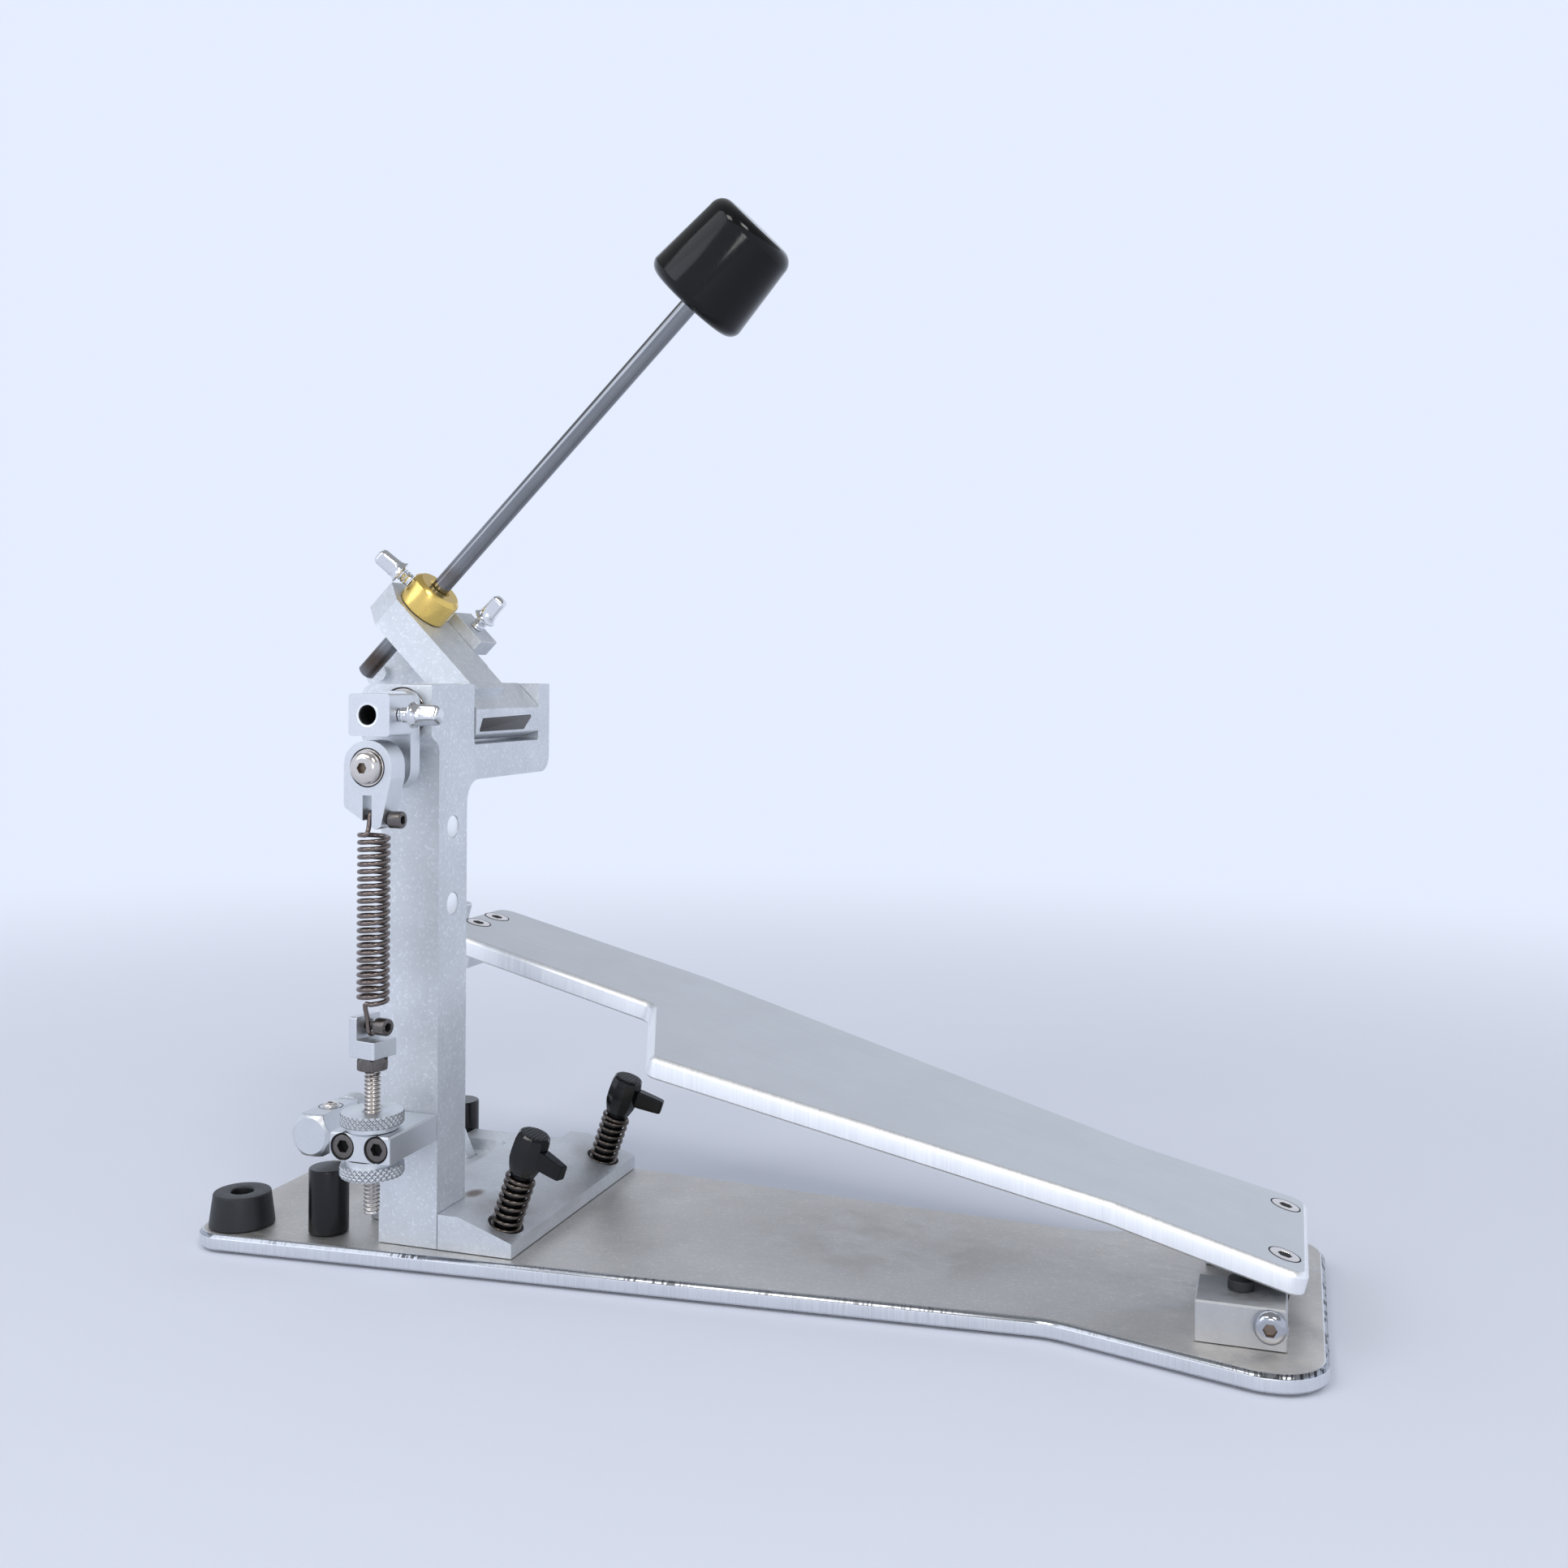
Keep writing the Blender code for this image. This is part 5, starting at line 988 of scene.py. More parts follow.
class PEDAL_OT_tower(PedalPiece, bpy.types.Operator):
    """Forked post with its two plugs and its two bearings"""

    bl_idname = "pedal.tower"
    bl_label = "Post and bearings"

    def make(self):
        casting("tower_post", "blasted_aluminium", "frame", 0.4 * MM)
        plug = [(0.0, 0.02 * MM), (4.42 * MM, 0.02 * MM), (4.42 * MM, 0.4 * MM),
                (4.0 * MM, 0.6 * MM), (0.0, 0.45 * MM)]
        for tag, drop in (("upper", 44.4 * MM), ("lower", 74.5 * MM)):
            place = seat((12.0 * MM, -46.25 * MM, SHAFT[2] - drop), (1, 0, 0))
            piece("post_plug_" + tag, [(spun(place, plug), "milled_edge", None)],
                  "frame")
        for sign, tag in SIDES:
            low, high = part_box("bearing_" + tag)
            face = low[1] if sign < 0.0 else high[1]
            place = seat((0.0, face, SHAFT[2]), (0.0, sign, 0.0))
            outer, inner, deep = 10.0 * MM, 5.05 * MM, -6.0 * MM
            race = [(outer, deep), (outer, -0.4 * MM), (outer - 0.4 * MM, 0.0), (7.9 * MM, 0.0),
                    (7.7 * MM, -0.5 * MM), (7.7 * MM, deep)]
            # The shield between the races takes the painted shade finish
            shield = [(7.7 * MM, -2.0 * MM), (7.7 * MM, -0.5 * MM), (6.6 * MM, -0.45 * MM),
                      (6.6 * MM, -2.0 * MM)]
            cone = [(6.6 * MM, deep), (6.6 * MM, -0.3 * MM), (6.4 * MM, 0.0), (inner, 0.0),
                    (inner, deep)]
            piece("finished_bearing_" + tag, [
                (spun(place, race), "stainless_steel", "loop"),
                (spun(place, shield), "dark_recess", "loop"),
                (spun(place, cone), "stainless_steel", "loop"),
            ], "frame", ("bearing_" + tag,))


class PEDAL_OT_hoop_clamp(PedalPiece, bpy.types.Operator):
    """Clamp block, swinging jaws, wing screws, knobs and their springs"""

    bl_idname = "pedal.hoop_clamp"
    bl_label = "Hoop clamp"

    def make(self):
        casting("clamp_block", "oiled_aluminium", "frame")
        for sign, tag in SIDES:
            casting("jaw_arm_" + tag, "blasted_aluminium", "jaw_" + tag)
            self.jaw(sign, tag)
            self.wing(sign, tag)

    def jaw(self, sign, tag):
        low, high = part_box("hex_jaw_" + tag)
        inner = high[1] if sign < 0.0 else low[1]
        reach = high[1] - low[1]
        centre = ((low[0] + high[0]) / 2, inner, (low[2] + high[2]) / 2)
        place = seat(centre, (0.0, sign, 0.0), (1.0, 0.0, 0.0))
        half = (high[2] - low[2]) / 2
        levels = np.concatenate([[0.0], np.linspace(reach - 3.4 * MM, reach, 12)])
        rows = [(0.0, 0.0)] + [(half, h, 6) for h in levels] + [(7.0 * MM, reach), (0.0, reach)]

        def cone(height):
            return 7.15 * MM + np.maximum(0.0, reach - height) * 1.05

        bar = spun(place, rows, 96, limit=cone)
        screw = seat((centre[0], inner + sign * 11.0 * MM, centre[2] + half - 0.4 * MM), (0, 0, 1))
        ring = [(4.55 * MM, 0.1 * MM), (4.55 * MM, 0.44 * MM), (4.9 * MM, 0.44 * MM),
                (4.9 * MM, 0.1 * MM)]
        piece("finished_hex_jaw_" + tag, [(bar, "faced_aluminium", None),
                                          (spun(screw, ring), "dark_recess", "loop")]
              + button_head(screw, 6.4 * MM, 1.9 * MM, 2.5 * MM),
              "jaw_" + tag, ("hex_jaw_" + tag,))

    def wing(self, sign, tag):
        drop = 14.2 * MM * math.tan(WING_SLOPE)
        base = np.array((36.2 * MM, sign * 45.0 * MM, 21.35 * MM - drop))
        place = seat(base, WING_AXIS, WING_SIDE)
        foot, knob, tall = -2.7 * MM, 21.3 * MM, 17.0 * MM
        wire = sizes().clamp_wire
        mean = (sizes().clamp_outer - wire) / 2
        turns = sizes().clamp_coils
        share = np.linspace(0.0, 1.0, round(turns * 40))
        rise = np.clip((share * turns - 0.6) / (turns - 1.2), 0.0, 1.0)
        flat = wire * 0.45 * np.clip(share * turns / 0.6, 0.0, 1.0)
        high = foot + 23.0 * MM - wire / 2
        low = foot + wire / 2
        height = low + flat + (high - low - wire * 0.45) * rise
        angle = 2 * np.pi * turns * share
        local = np.stack([mean * np.cos(angle), mean * np.sin(angle), height], -1)
        piece("finished_clamp_spring_" + tag,
              [(tube(placed(local, place), wire / 2), "black_wire", None)],
              "frame", ("clamp_spring_" + tag,))
        sleeve = [(0.0, foot + 0.3 * MM), (4.3 * MM, foot + 0.3 * MM), (4.3 * MM, knob - 0.1 * MM),
                  (0.0, knob - 0.1 * MM)]
        piece("finished_wing_screw_" + tag, [(spun(place, sleeve, 48), "satin_acetal", None)],
              "wing_" + tag, ("wing_screw_" + tag,))
        half = 7.0 * MM
        rows = [(0.0, knob), (half * 0.66, knob), (half * 0.74, knob + 0.6 * MM),
                (half * 0.90, knob + 3.6 * MM), (half * 0.985, knob + 6.0 * MM),
                (half, knob + 9.0 * MM), (half * 0.98, knob + tall - 3.4 * MM),
                (half * 0.90, knob + tall - 1.0 * MM), (half * 0.80, knob + tall - 0.2 * MM)]
        top = [(half * 0.80, knob + tall - 0.2 * MM), (half * 0.62, knob + tall),
               (half * 0.35, knob + tall), (0.0, knob + tall)]

        def facets(radius, height, angle):
            flat = np.cos(np.pi / 10) / np.cos(angle % (np.pi / 5) - np.pi / 10)
            return radius * (0.95 * (flat - 1.0) + 0.018)

        parts = [(spun(place, rows, 120, reach=facets), "satin_plastic", None),
                 (spun(place, top, 120), "ribbed_plastic", None),
                 (self.blade(place, knob, sign), "moulded_plastic", ("moulded_plastic",) * 2)]
        piece("finished_wing_knob_" + tag, parts, "wing_" + tag,
              ("wing_knob_" + tag,), sharp=20.0)

    def blade(self, place, knob, sign):
        """Wing of the knob: a soft rectangle carried outwards, tapering to its tip."""
        swing = math.radians(-15.0 if sign < 0.0 else 12.0)
        along = np.array((math.cos(swing), math.sin(swing), 0.0))
        across = np.array((-math.sin(swing), math.cos(swing), 0.0))
        angle = np.linspace(0.0, 2 * np.pi, 48, endpoint=False)
        power = (np.abs(np.cos(angle)) ** 12 + np.abs(np.sin(angle)) ** 12) ** (-1 / 12)
        u, v = power * np.cos(angle), power * np.sin(angle)
        rows = []
        for reach, wide, low, high in (
            (2.0, 2.6, 5.6, 12.9), (8.0, 2.6, 5.7, 12.9), (14.0, 2.3, 6.1, 12.5),
            (17.2, 2.1, 6.4, 12.2), (17.8, 1.9, 6.7, 11.9), (18.0, 1.5, 7.1, 11.5),
        ):
            middle = knob + (low + high) / 2 * MM
            tall = (high - low) / 2 * MM
            spot = along * reach * MM + np.array((0.0, 0.0, middle))
            rows.append(spot + np.outer(u * wide * MM, across) + np.outer(v * tall, (0, 0, 1)))
        return placed(np.array(rows), place)


class PEDAL_OT_heel(PedalPiece, bpy.types.Operator):
    """Heel blocks with their button-head hinge screws and rubber pads"""

    bl_idname = "pedal.heel"
    bl_label = "Heel blocks"

    def make(self):
        for sign, tag in SIDES:
            casting("heel_block_" + tag, "tumbled_aluminium", "frame")
            place = seat(HINGE + np.array((0.0, sign * 49.0 * MM, 0.0)), (0.0, sign, 0.0))
            washer = [(5.8 * MM, 0.02 * MM), (5.8 * MM, 0.5 * MM), (3.3 * MM, 0.5 * MM),
                      (3.3 * MM, 0.02 * MM)]
            shank = seat(HINGE + np.array((0.0, sign * 4.3 * MM, 0.0)), (0.0, sign, 0.0))
            rows = [(0.0, 0.0), (3.175 * MM, 0.0), (3.175 * MM, 44.9 * MM), (0.0, 44.9 * MM)]
            head = button_head(place, 11.1 * MM, 3.2 * MM, 4.0 * MM, "polished_steel")
            piece("finished_hinge_screw_" + tag, head + [
                (spun(place, washer), "polished_steel", "loop"),
                (spun(shank, rows, 48), "stainless_steel", None),
            ], "frame", ("hinge_screw_" + tag,))
            self.pad(tag)

    def pad(self, tag):
        low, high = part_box("heel_pad_" + tag)
        place = seat(((low[0] + high[0]) / 2, (low[1] + high[1]) / 2, low[2]), (0, 0, 1))
        half, tall = (high[0] - low[0]) / 2, high[2] - low[2]
        rows = [(0.0, 0.0), (half, 0.0), (half, tall - 0.6 * MM)]
        rows += arc(0.6 * MM, (half - 0.6 * MM, tall - 0.6 * MM), 15.0, 90.0, 6) + [(0.0, tall)]
        piece("finished_heel_pad_" + tag, [(spun(place, rows, 48), "moulded_rubber", None)],
              "frame", ("heel_pad_" + tag,))


class PEDAL_OT_footboard(PedalPiece, bpy.types.Operator):
    """Brushed footboard with milled edges, screws, hinge knuckle and toe bracket"""

    bl_idname = "pedal.footboard"
    bl_label = "Footboard"

    def make(self):
        along = np.array((math.cos(TILT), 0.0, -math.sin(TILT)))
        up = np.array((math.sin(TILT), 0.0, math.cos(TILT)))
        place = seat(HINGE, up, along)
        corners = [
            (8.5, -41.0, 6.0), (8.5, 41.0, 6.0), (-58.0, 37.5, 12.0), (-253.0, 60.0, 30.0),
            (-356.7, 58.0, 8.0), (-356.7, -2.0, 8.0), (-253.0, -2.0, 6.0),
            (-229.0, -60.0, 5.0), (-58.0, -37.5, 12.0),
        ]
        points = rounded([tuple(v * MM for v in corner) for corner in corners])
        cut = sizes().board_chamfer
        low = 9.4 * MM
        soft = 0.2 * MM
        profile = [(0.8 * MM, low), (0.0, low + 0.8 * MM), (0.0, BOARD_TOP - cut - soft),
                   (soft * 0.3, BOARD_TOP - cut), (cut - soft * 0.3, BOARD_TOP - soft * 0.6),
                   (cut + soft, BOARD_TOP), (cut + 3 * soft, BOARD_TOP)]
        coats = ["milled_edge"] * 5 + ["brushed_aluminium"]
        piece("finished_footboard", [(slab(points, profile, place), coats,
                                      ("brushed_aluminium",) * 2)],
              "footboard", ("footboard",))
        spots = {"heel_screw_near": (0.0, -26.6), "heel_screw_far": (0.0, 26.6),
                 "toe_screw_a": (-349.6, 23.4), "toe_screw_b": (-349.6, 40.2)}
        for name, (x, y) in spots.items():
            spot = placed(np.array((x * MM, y * MM, BOARD_TOP)), place)
            piece("finished_" + name, flat_head(seat(spot, up, along), 11.0 * MM, 4.4 * MM),
                  "footboard", (name,))
        casting("hinge_knuckle", "moulded_plastic", "footboard", 0.5 * MM)
        casting("toe_bracket", "faced_aluminium", "footboard")


class PEDAL_OT_drive(PedalPiece, bpy.types.Operator):
    """Drive link, lever and the lever's clamp with its key screw"""

    bl_idname = "pedal.drive"
    bl_label = "Drive link and lever"

    def make(self):
        casting("drive_link", "faced_aluminium", "link")
        casting("drive_lever", "blasted_aluminium", "shaft")
        casting("lever_clamp", "blasted_aluminium", "shaft")
        spot = SHAFT + 19.3 * MM * ROD_AXIS + 31.0 * MM * ARM_AXIS + np.array((0, 9.3 * MM, 0))
        piece("finished_lever_key_screw", key_screw(seat(spot, ROD_AXIS, (0, 1, 0.35))),
              "shaft", ("lever_key_screw",))


class PEDAL_OT_hub(PedalPiece, bpy.types.Operator):
    """Hub with its arm, the drive shaft and a blank plate on the heel face"""

    bl_idname = "pedal.hub"
    bl_label = "Hub and shaft"

    def make(self):
        casting("beater_hub", "blasted_aluminium", "shaft")
        low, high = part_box("drive_shaft")
        place = seat((0.0, low[1], SHAFT[2]), (0, 1, 0))
        reach = high[1] - low[1]
        rows = [(0.0, 0.0), (4.25 * MM, 0.0), (4.75 * MM, 0.5 * MM), (4.75 * MM, reach - 0.5 * MM),
                (4.25 * MM, reach), (0.0, reach)]
        piece("finished_drive_shaft", [(spun(place, rows), "stainless_steel", None)],
              "shaft", ("drive_shaft",))
        # Plate on the heel face of the hub, drawn in y and z
        corners = [(-28.6, -8.4), (-25.0, -2.0), (20.4, -1.3), (11.0, -8.4)]
        points = rounded([(y * MM, z * MM, 1.2 * MM) for y, z in corners])
        face = seat((13.5 * MM, 0.0, SHAFT[2]), (1, 0, 0), (0, 1, 0))
        rim = slab(points, [(0.0, 0.02 * MM), (0.0, 0.12 * MM), (0.15 * MM, 0.2 * MM)], face)
        inner = inset(points, 0.45 * MM)
        film = slab(inner, [(0.0, 0.05 * MM), (0.0, 0.22 * MM), (0.1 * MM, 0.26 * MM)], face)
        piece("blank_plate", [(rim, "faced_aluminium", ("faced_aluminium",) * 2),
                              (film, "bare_plate", ("bare_plate",) * 2)], "shaft")


class PEDAL_OT_beater(PedalPiece, bpy.types.Operator):
    """Beater rod, moulded head and the gold collar with its key screw"""

    bl_idname = "pedal.beater"
    bl_label = "Beater"

    def make(self):
        place = seat(ROD_START, ROD_AXIS, (0, 1, 0))
        rows = [(0.0, -24.3 * MM), (3.0 * MM, -24.3 * MM), (3.7 * MM, -23.6 * MM),
                (3.7 * MM, 0.0), (3.7 * MM, 60 * MM), (3.7 * MM, 196.9 * MM), (0.0, 197.0 * MM)]
        piece("finished_beater_rod", [(spun(place, rows), "polished_rod", None)],
              "beater", ("beater_rod",))
        low, high = 184.0 * MM, 224.0 * MM
        rows = [(3.85 * MM, low + 4.0 * MM), (3.85 * MM, low + 0.8 * MM),
                (4.4 * MM, low + 0.2 * MM)]
        rows += arc(5.0 * MM, (17.0 * MM, low + 5.0 * MM), -90.0, -7.0, 14)
        rows += arc(6.0 * MM, (13.5 * MM, high - 6.0 * MM), -3.0, 90.0, 16)
        rows += [(8.0 * MM, high), (0.0, high)]
        piece("finished_beater_head", [(spun(place, rows, 112), "moulded_plastic", None)],
              "beater", ("beater_head",))
        low, high = 14.2 * MM, 26.2 * MM
        rows = [(3.9 * MM, low), (10.6 * MM, low), (11.0 * MM, low + 0.4 * MM),
                (11.0 * MM, high - 2.0 * MM), (10.85 * MM, high - 1.7 * MM),
                (9.4 * MM, high - 0.2 * MM), (9.1 * MM, high), (4.9 * MM, high),
                (4.4 * MM, high - 0.5 * MM), (3.9 * MM, high - 0.8 * MM)]
        piece("finished_beater_collar", [(spun(place, rows, 96), "gold_anodised", "loop")],
              "beater", ("beater_collar",))
        turn = math.radians(23.6)
        out = math.cos(turn) * ARM_AXIS - math.sin(turn) * np.array((0, 1, 0))
        spot = ROD_START + 20.2 * MM * ROD_AXIS + 11.3 * MM * out
        piece("finished_collar_key_screw", key_screw(seat(spot, out, ROD_AXIS)),
              "beater", ("collar_key_screw",))


class PEDAL_OT_crank(PedalPiece, bpy.types.Operator):
    """Coupler, crank pin, spring lever and their screws"""

    bl_idname = "pedal.crank"
    bl_label = "Crank and spring lever"

    def make(self):
        casting("crank_coupler", "faced_aluminium", "shaft")
        casting("spring_lever", "faced_aluminium", "spring_lever")
        spot = np.array((9.7 * MM, -79.5 * MM, SHAFT[2]))
        piece("finished_coupler_key_screw", key_screw(seat(spot, (1, 0, 0), (0, 0.6, 1))),
              "shaft", ("coupler_key_screw",))
        pin = seat((0.0, -87.4 * MM, CRANK_PIN_Z), (0, -1, 0))
        piece("finished_crank_pin_screw", button_head(pin, 12.4 * MM, 3.2 * MM, 3.6 * MM),
              "shaft", ("crank_pin_screw",))
        face = seat((0.0, -86.8 * MM, CRANK_PIN_Z), (0, -1, 0))
        groove = [(6.9 * MM, -0.3 * MM), (6.9 * MM, 0.04 * MM), (7.35 * MM, 0.04 * MM),
                  (7.35 * MM, -0.3 * MM)]
        race = [(5.6 * MM, -0.3 * MM), (5.6 * MM, 0.16 * MM), (6.7 * MM, 0.16 * MM),
                (6.9 * MM, 0.0), (6.9 * MM, -0.3 * MM)]
        piece("pin_bearing_ring", [(spun(face, groove), "dark_recess", "loop"),
                                   (spun(face, race), "stainless_steel", "loop")],
              "spring_lever")
        self.hook("lever_hook_screw", 0.0, 7.5 * MM, SPRING_PIN_Z, 9.1 * MM, "spring_lever")
        self.hook("clevis_screw", -11.4, 2.8 * MM, SPRING_ANCHOR_Z, 8.35 * MM, "frame")
        rim = seat((0.0, -87.0 * MM, SHAFT[2]), (0, -1, 0))
        mouth = [(3.75 * MM, -0.8 * MM), (3.75 * MM, -0.05 * MM), (4.5 * MM, 0.10 * MM),
                 (4.6 * MM, 0.0), (4.6 * MM, -0.8 * MM)]
        end = -87.0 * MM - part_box("drive_shaft")[0][1] + 0.1 * MM
        lining = [(0.0, end), (3.70 * MM, end), (3.74 * MM, -0.8 * MM), (3.64 * MM, -0.8 * MM),
                  (3.60 * MM, end + 0.1 * MM), (0.0, end + 0.1 * MM)]
        piece("socket_mouth", [(spun(rim, mouth), "milled_edge", "loop"),
                               (spun(rim, lining), "dark_recess", None)],
              "shaft")

    def hook(self, node, turn, reach, z, shank, body):
        """Cap screw from the spring's axis outwards, its shank carrying a spring hook."""
        out = np.array((math.cos(math.radians(turn)), math.sin(math.radians(turn)), 0.0))
        spot = np.array((0.0, SPRING_Y, z)) + reach * out
        rows = [(0.0, -0.1 * MM), (1.7 * MM, -0.1 * MM), (1.7 * MM, shank), (0.0, shank)]
        parts = cap_head(seat(spot, out, (0, 0, 1)), 6.4 * MM, 4.8 * MM, 3.0 * MM, "black_oxide")
        parts.append((spun(seat(spot, -out, (0, 0, 1)), rows, 40), "black_oxide", None))
        piece("finished_" + node, parts, body, (node,))


class PEDAL_OT_tension_spring(PedalPiece, bpy.types.Operator):
    """Tension spring with hooks, drawn at one length between its hook screws"""

    bl_idname = "pedal.tension_spring"
    bl_label = "Tension spring"

    def make(self):
        wire = sizes().spring_wire
        mean = (sizes().spring_outer - wire) / 2
        anchor, pin = SPRING_ANCHOR_Z, SPRING_PIN_Z
        low, high = anchor + 8.6 * MM, pin - 5.4 * MM
        turns = sizes().spring_coils
        share = np.linspace(0.0, 1.0, turns * 16 + 1)
        angle = -np.pi / 2 + 2 * np.pi * turns * share
        height = low + (high - low) * share
        coil = np.stack([mean * np.cos(angle), mean * np.sin(angle), height], -1)
        hook = 3.1 * MM
        bend = np.radians(np.arange(200.0, -1.0, -20.0))
        lower = np.stack([0 * bend, -hook * np.cos(bend), anchor - hook * np.sin(bend)], -1)
        bend = np.radians(np.arange(180.0, -21.0, -20.0))
        upper = np.stack([0 * bend, hook * np.cos(bend), pin + hook * np.sin(bend)], -1)
        rise = np.array([(0.0, -3.7 * MM, anchor + 3.4 * MM)])
        fall = np.array([(0.0, -3.7 * MM, pin - 3.4 * MM)])
        points = np.concatenate([lower, rise, coil, fall, upper])
        points[:, 1] += SPRING_Y
        path = curve(points, 3)
        name = "finished_tension_spring"
        made = piece(name, [(tube(path, wire / 2, 14), "tempered_wire", None)], None)
        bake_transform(made)
        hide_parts("tension_spring")


class PEDAL_OT_tensioner(PedalPiece, bpy.types.Operator):
    """Clevis, threaded rod, knurled nuts and the tensioner block"""

    bl_idname = "pedal.tensioner"
    bl_label = "Tensioner"

    def make(self):
        casting("clevis", "faced_aluminium", "frame")
        casting("tensioner_block", "faced_aluminium", "frame", 0.5 * MM)
        axis = seat((0.0, SPRING_Y, 0.0), (0, 0, 1))
        low, high = (corner[2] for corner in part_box("tension_rod"))
        screw = thread(axis, 3.17 * MM, low, high, sizes().rod_pitch, 0.75 * MM)
        piece("finished_tension_rod", [(screw, "threaded_steel", None)],
              "frame", ("tension_rod",), sharp=60.0)
        low, high = (corner[2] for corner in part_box("jam_nut"))
        rows = [(3.5 * MM, low), (5.4 * MM, low), (5.5 * MM, low + 0.01 * MM, 6),
                (5.5 * MM, low + 0.6 * MM, 6), (5.5 * MM, high - 0.6 * MM, 6),
                (5.5 * MM, high - 0.01 * MM, 6), (5.4 * MM, high), (3.5 * MM, high)]

        def chamfer(height):
            edge = np.minimum(height - low, high - height)
            return 5.45 * MM + np.maximum(edge, 0.0) * 1.6

        piece("finished_jam_nut", [(spun(axis, rows, 72, limit=chamfer), "black_oxide", "loop")],
              "frame", ("jam_nut",))
        for tag, x in (("a", -7.1 * MM), ("b", 7.1 * MM)):
            place = seat((x, -85.5 * MM, 55.05 * MM), (0, -1, 0))
            gap = [(4.4 * MM, -0.2 * MM), (4.4 * MM, 4.6 * MM), (4.9 * MM, 5.1 * MM),
                   (5.05 * MM, -0.2 * MM)]
            piece("finished_tensioner_screw_" + tag,
                  cap_head(place, 8.8 * MM, 5.0 * MM, 4.4 * MM, "black_oxide")
                  + [(spun(place, gap), "dark_recess", "loop")],
                  "frame", ("tensioner_screw_" + tag,))
        for tag, sign in (("upper", 1.0), ("lower", -1.0)):
            self.nut(tag, sign)

    def nut(self, tag, sign):
        """Knurled nut: diamonds are the larger of two crossing triangle waves."""
        low, high = (corner[2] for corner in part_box("tension_nut_" + tag))
        start = low if sign > 0.0 else high
        place = seat((0.0, SPRING_Y, start), (0, 0, sign))
        tall = high - low
        rim = np.linspace(2.5 * MM, tall - 0.5 * MM, 34)
        rows = [(3.5 * MM, 0.0), (9.5 * MM, 0.0), (9.5 * MM, 2.0 * MM), (11.4 * MM, 2.0 * MM)]
        rows += [(NUT_RADIUS, h) for h in rim]
        rows += [(11.4 * MM, tall), (10.8 * MM, tall), (10.6 * MM, tall - 0.04 * MM),
                 (4.0 * MM, tall - 0.04 * MM), (3.5 * MM, tall - 0.4 * MM)]
        depth, count = sizes().knurl_depth, sizes().knurl_count
        step = 2 * np.pi * NUT_RADIUS / count

        def diamonds(radius, height, angle):
            turn = angle * count / (2 * np.pi)
            rise = height / step
            first = np.abs((turn + rise) % 1.0 - 0.5) * 2
            second = np.abs((turn - rise) % 1.0 - 0.5) * 2
            return np.where(radius >= NUT_RADIUS, -depth * np.maximum(first, second), 0.0)

        grid = spun(place, rows, count * 8, reach=diamonds)
        coats = ["faced_aluminium"] * 3 + ["knurled_aluminium"] * 35 + ["faced_aluminium"] * 5
        piece("finished_tension_nut_" + tag, [(grid, coats, "loop")],
              "nut_" + tag, ("tension_nut_" + tag,), sharp=60.0)


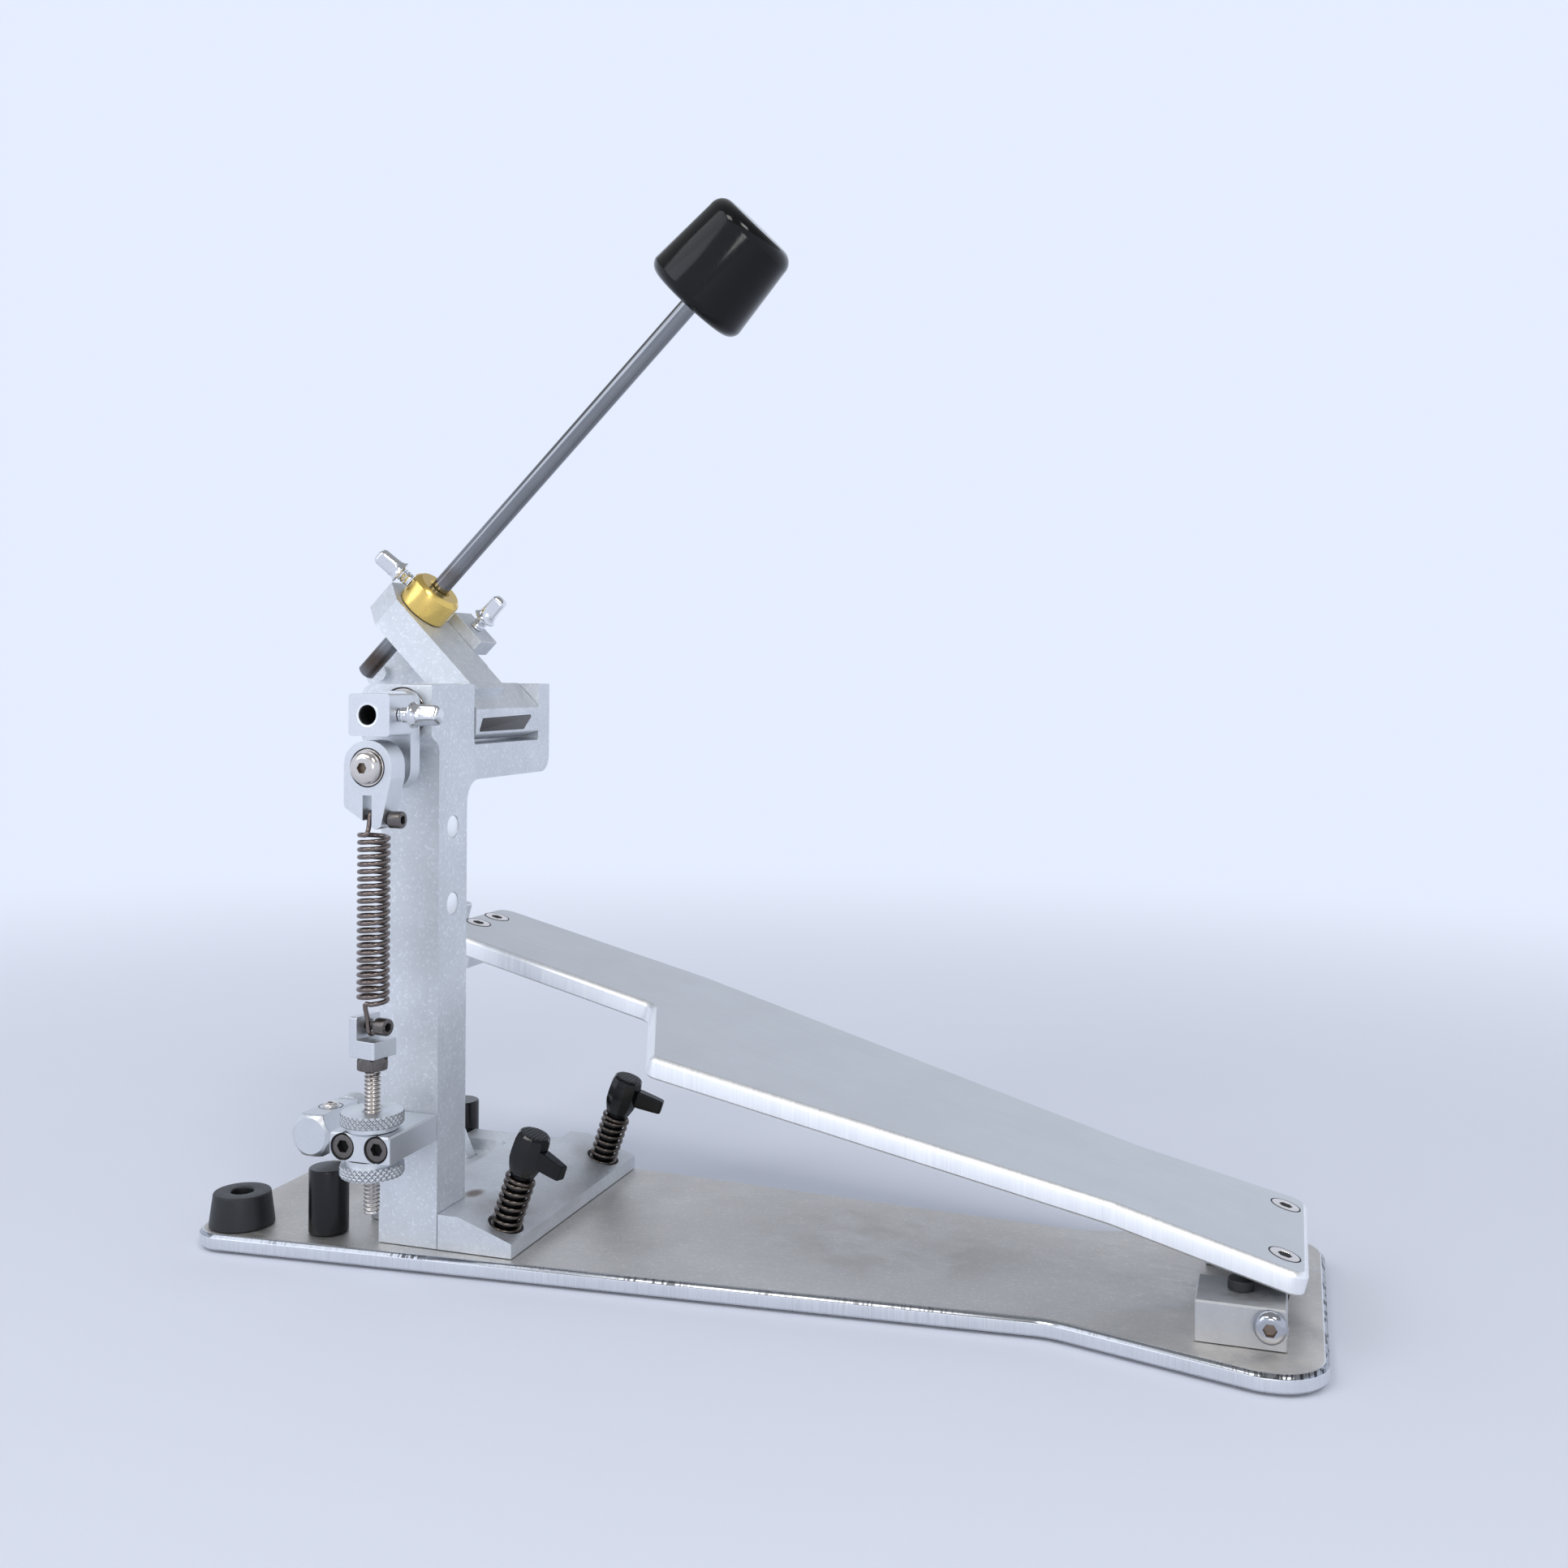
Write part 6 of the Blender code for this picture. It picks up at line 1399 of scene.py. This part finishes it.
class PEDAL_OT_stage(PedalPiece, bpy.types.Operator):
    """Pale floor that turns up into a backdrop all round, soft lamps and the camera"""

    bl_idname = "pedal.stage"
    bl_label = "Stage"

    def make(self):
        rows = [(0.0, 0.0), (0.4, 0.0), (1.0, 0.0), (2.2, 0.0)]
        rows += [(2.2 + 1.2 * math.sin(a), 1.2 - 1.2 * math.cos(a))
                 for a in np.radians(np.linspace(4.0, 86.0, 20))]
        rows += [(3.41, 2.2)]
        grid = spun(seat((0.12, 0.0, 0.0), (0, 0, 1)), rows, 96)
        floor = piece("studio_floor", [(grid, "pale_floor", None)], None)
        floor.data.flip_normals()
        self.world()
        # Name, place, height of the aim on the post, width and height, watts, colour
        for name, spot, aim, size, power, tint in (
            ("left_ceiling", (-0.3, -1.3, 1.7), 0.1, (0.5, 0.5), 6.0, "#FFFDFA"),
            ("right_ceiling", (1.1, -1.1, 1.65), 0.1, (0.5, 0.5), 7.5, "#FFFDFA"),
            ("window", (-1.2, -1.26, 1.45), 0.25, (1.0, 1.8), 9.5, "#F1F5FF"),
            ("behind_camera", (0.37, -1.0, 0.30), 0.35, (0.22, 0.22), 0.8, "#FFFDFA"),
        ):
            self.lamp(name, spot, (0.1, 0.0, aim), size, power, tint)
        self.camera()

    def world(self):
        made = bpy.data.worlds.new("soft_room")
        bpy.context.scene.world = made
        made.use_nodes = True
        tree = made.node_tree
        tree.nodes.clear()
        sky = add(tree, "ShaderNodeBackground", {"Color": linear("#F3F6FC"), "Strength": 0.40})
        add(tree, "ShaderNodeOutputWorld", {"Surface": sky.outputs["Background"]})

    def lamp(self, name, spot, target, size, power, tint):
        data = bpy.data.lights.new(name, "AREA")
        data.energy = power
        data.shape = "RECTANGLE"
        data.size, data.size_y = size
        data.color = linear(tint)[:3]
        made = bpy.data.objects.new(name, data)
        frame_of = seat(spot, np.subtract(spot, target))
        made.matrix_world = Matrix(np.vstack([frame_of, (0, 0, 0, 1)]).tolist())
        bpy.context.scene.collection.objects.link(made)

    def camera(self):
        """Pinhole fitted to the photograph: 1938 px focal length on 1932 px."""
        data = bpy.data.cameras.new("photo_view")
        data.sensor_fit = "HORIZONTAL"
        data.sensor_width = 36.0
        data.lens = 36.0 * 1937.98 / 1932.0
        data.shift_y = -134.33 / 1932.0
        data.clip_start = 0.01
        made = bpy.data.objects.new("photo_view", data)
        azimuth, pitch, roll = (math.radians(v) for v in (17.99, 0.04, 0.34))
        look = np.array((-math.sin(azimuth) * math.cos(pitch),
                         math.cos(azimuth) * math.cos(pitch), math.sin(pitch)))
        right = np.array((math.cos(azimuth), math.sin(azimuth), 0.0))
        up = np.cross(right, look)
        x = right * math.cos(roll) + up * math.sin(roll)
        y = up * math.cos(roll) - right * math.sin(roll)
        spot = np.array((326.16, -592.66, 229.64)) * MM
        rows = np.vstack([np.column_stack([x, y, -look, spot]), (0, 0, 0, 1)])
        made.matrix_world = Matrix(rows.tolist())
        bpy.context.scene.collection.objects.link(made)
        bpy.context.scene.camera = made


class PEDAL_PT_pieces(bpy.types.Panel):
    """Lists the pieces, their sizes and their colours"""

    bl_label = "Pedal"
    bl_space_type = "VIEW_3D"
    bl_region_type = "UI"
    bl_category = "Pedal"

    def draw(self, context):
        for operator in OPERATORS:
            self.layout.operator(operator.bl_idname)
        for group in (context.scene.pedal_sizes, context.scene.pedal_colours):
            column = self.layout.column()
            for key in group.__annotations__:
                column.prop(group, key)


OPERATORS = (
    PEDAL_OT_stage, PEDAL_OT_base, PEDAL_OT_tower, PEDAL_OT_hoop_clamp, PEDAL_OT_heel,
    PEDAL_OT_footboard, PEDAL_OT_drive, PEDAL_OT_hub, PEDAL_OT_beater, PEDAL_OT_crank,
    PEDAL_OT_tension_spring, PEDAL_OT_tensioner,
)
CLASSES = (PedalSizes, PedalColours, *OPERATORS, PEDAL_PT_pieces)


def register():
    """Register the classes and hang the properties on the scene."""
    for kind in CLASSES:
        bpy.utils.register_class(kind)
    bpy.types.Scene.pedal_sizes = bpy.props.PointerProperty(type=PedalSizes)
    bpy.types.Scene.pedal_colours = bpy.props.PointerProperty(type=PedalColours)


def unregister():
    """Take the properties and classes away again."""
    del bpy.types.Scene.pedal_colours
    del bpy.types.Scene.pedal_sizes
    for kind in reversed(CLASSES):
        bpy.utils.unregister_class(kind)


def main():
    """Make every piece in order."""
    register()
    bpy.context.scene.view_settings.view_transform = "Standard"
    for operator in OPERATORS:
        group, name = operator.bl_idname.split(".")
        getattr(getattr(bpy.ops, group), name)()


if __name__ == "__main__":
    main()
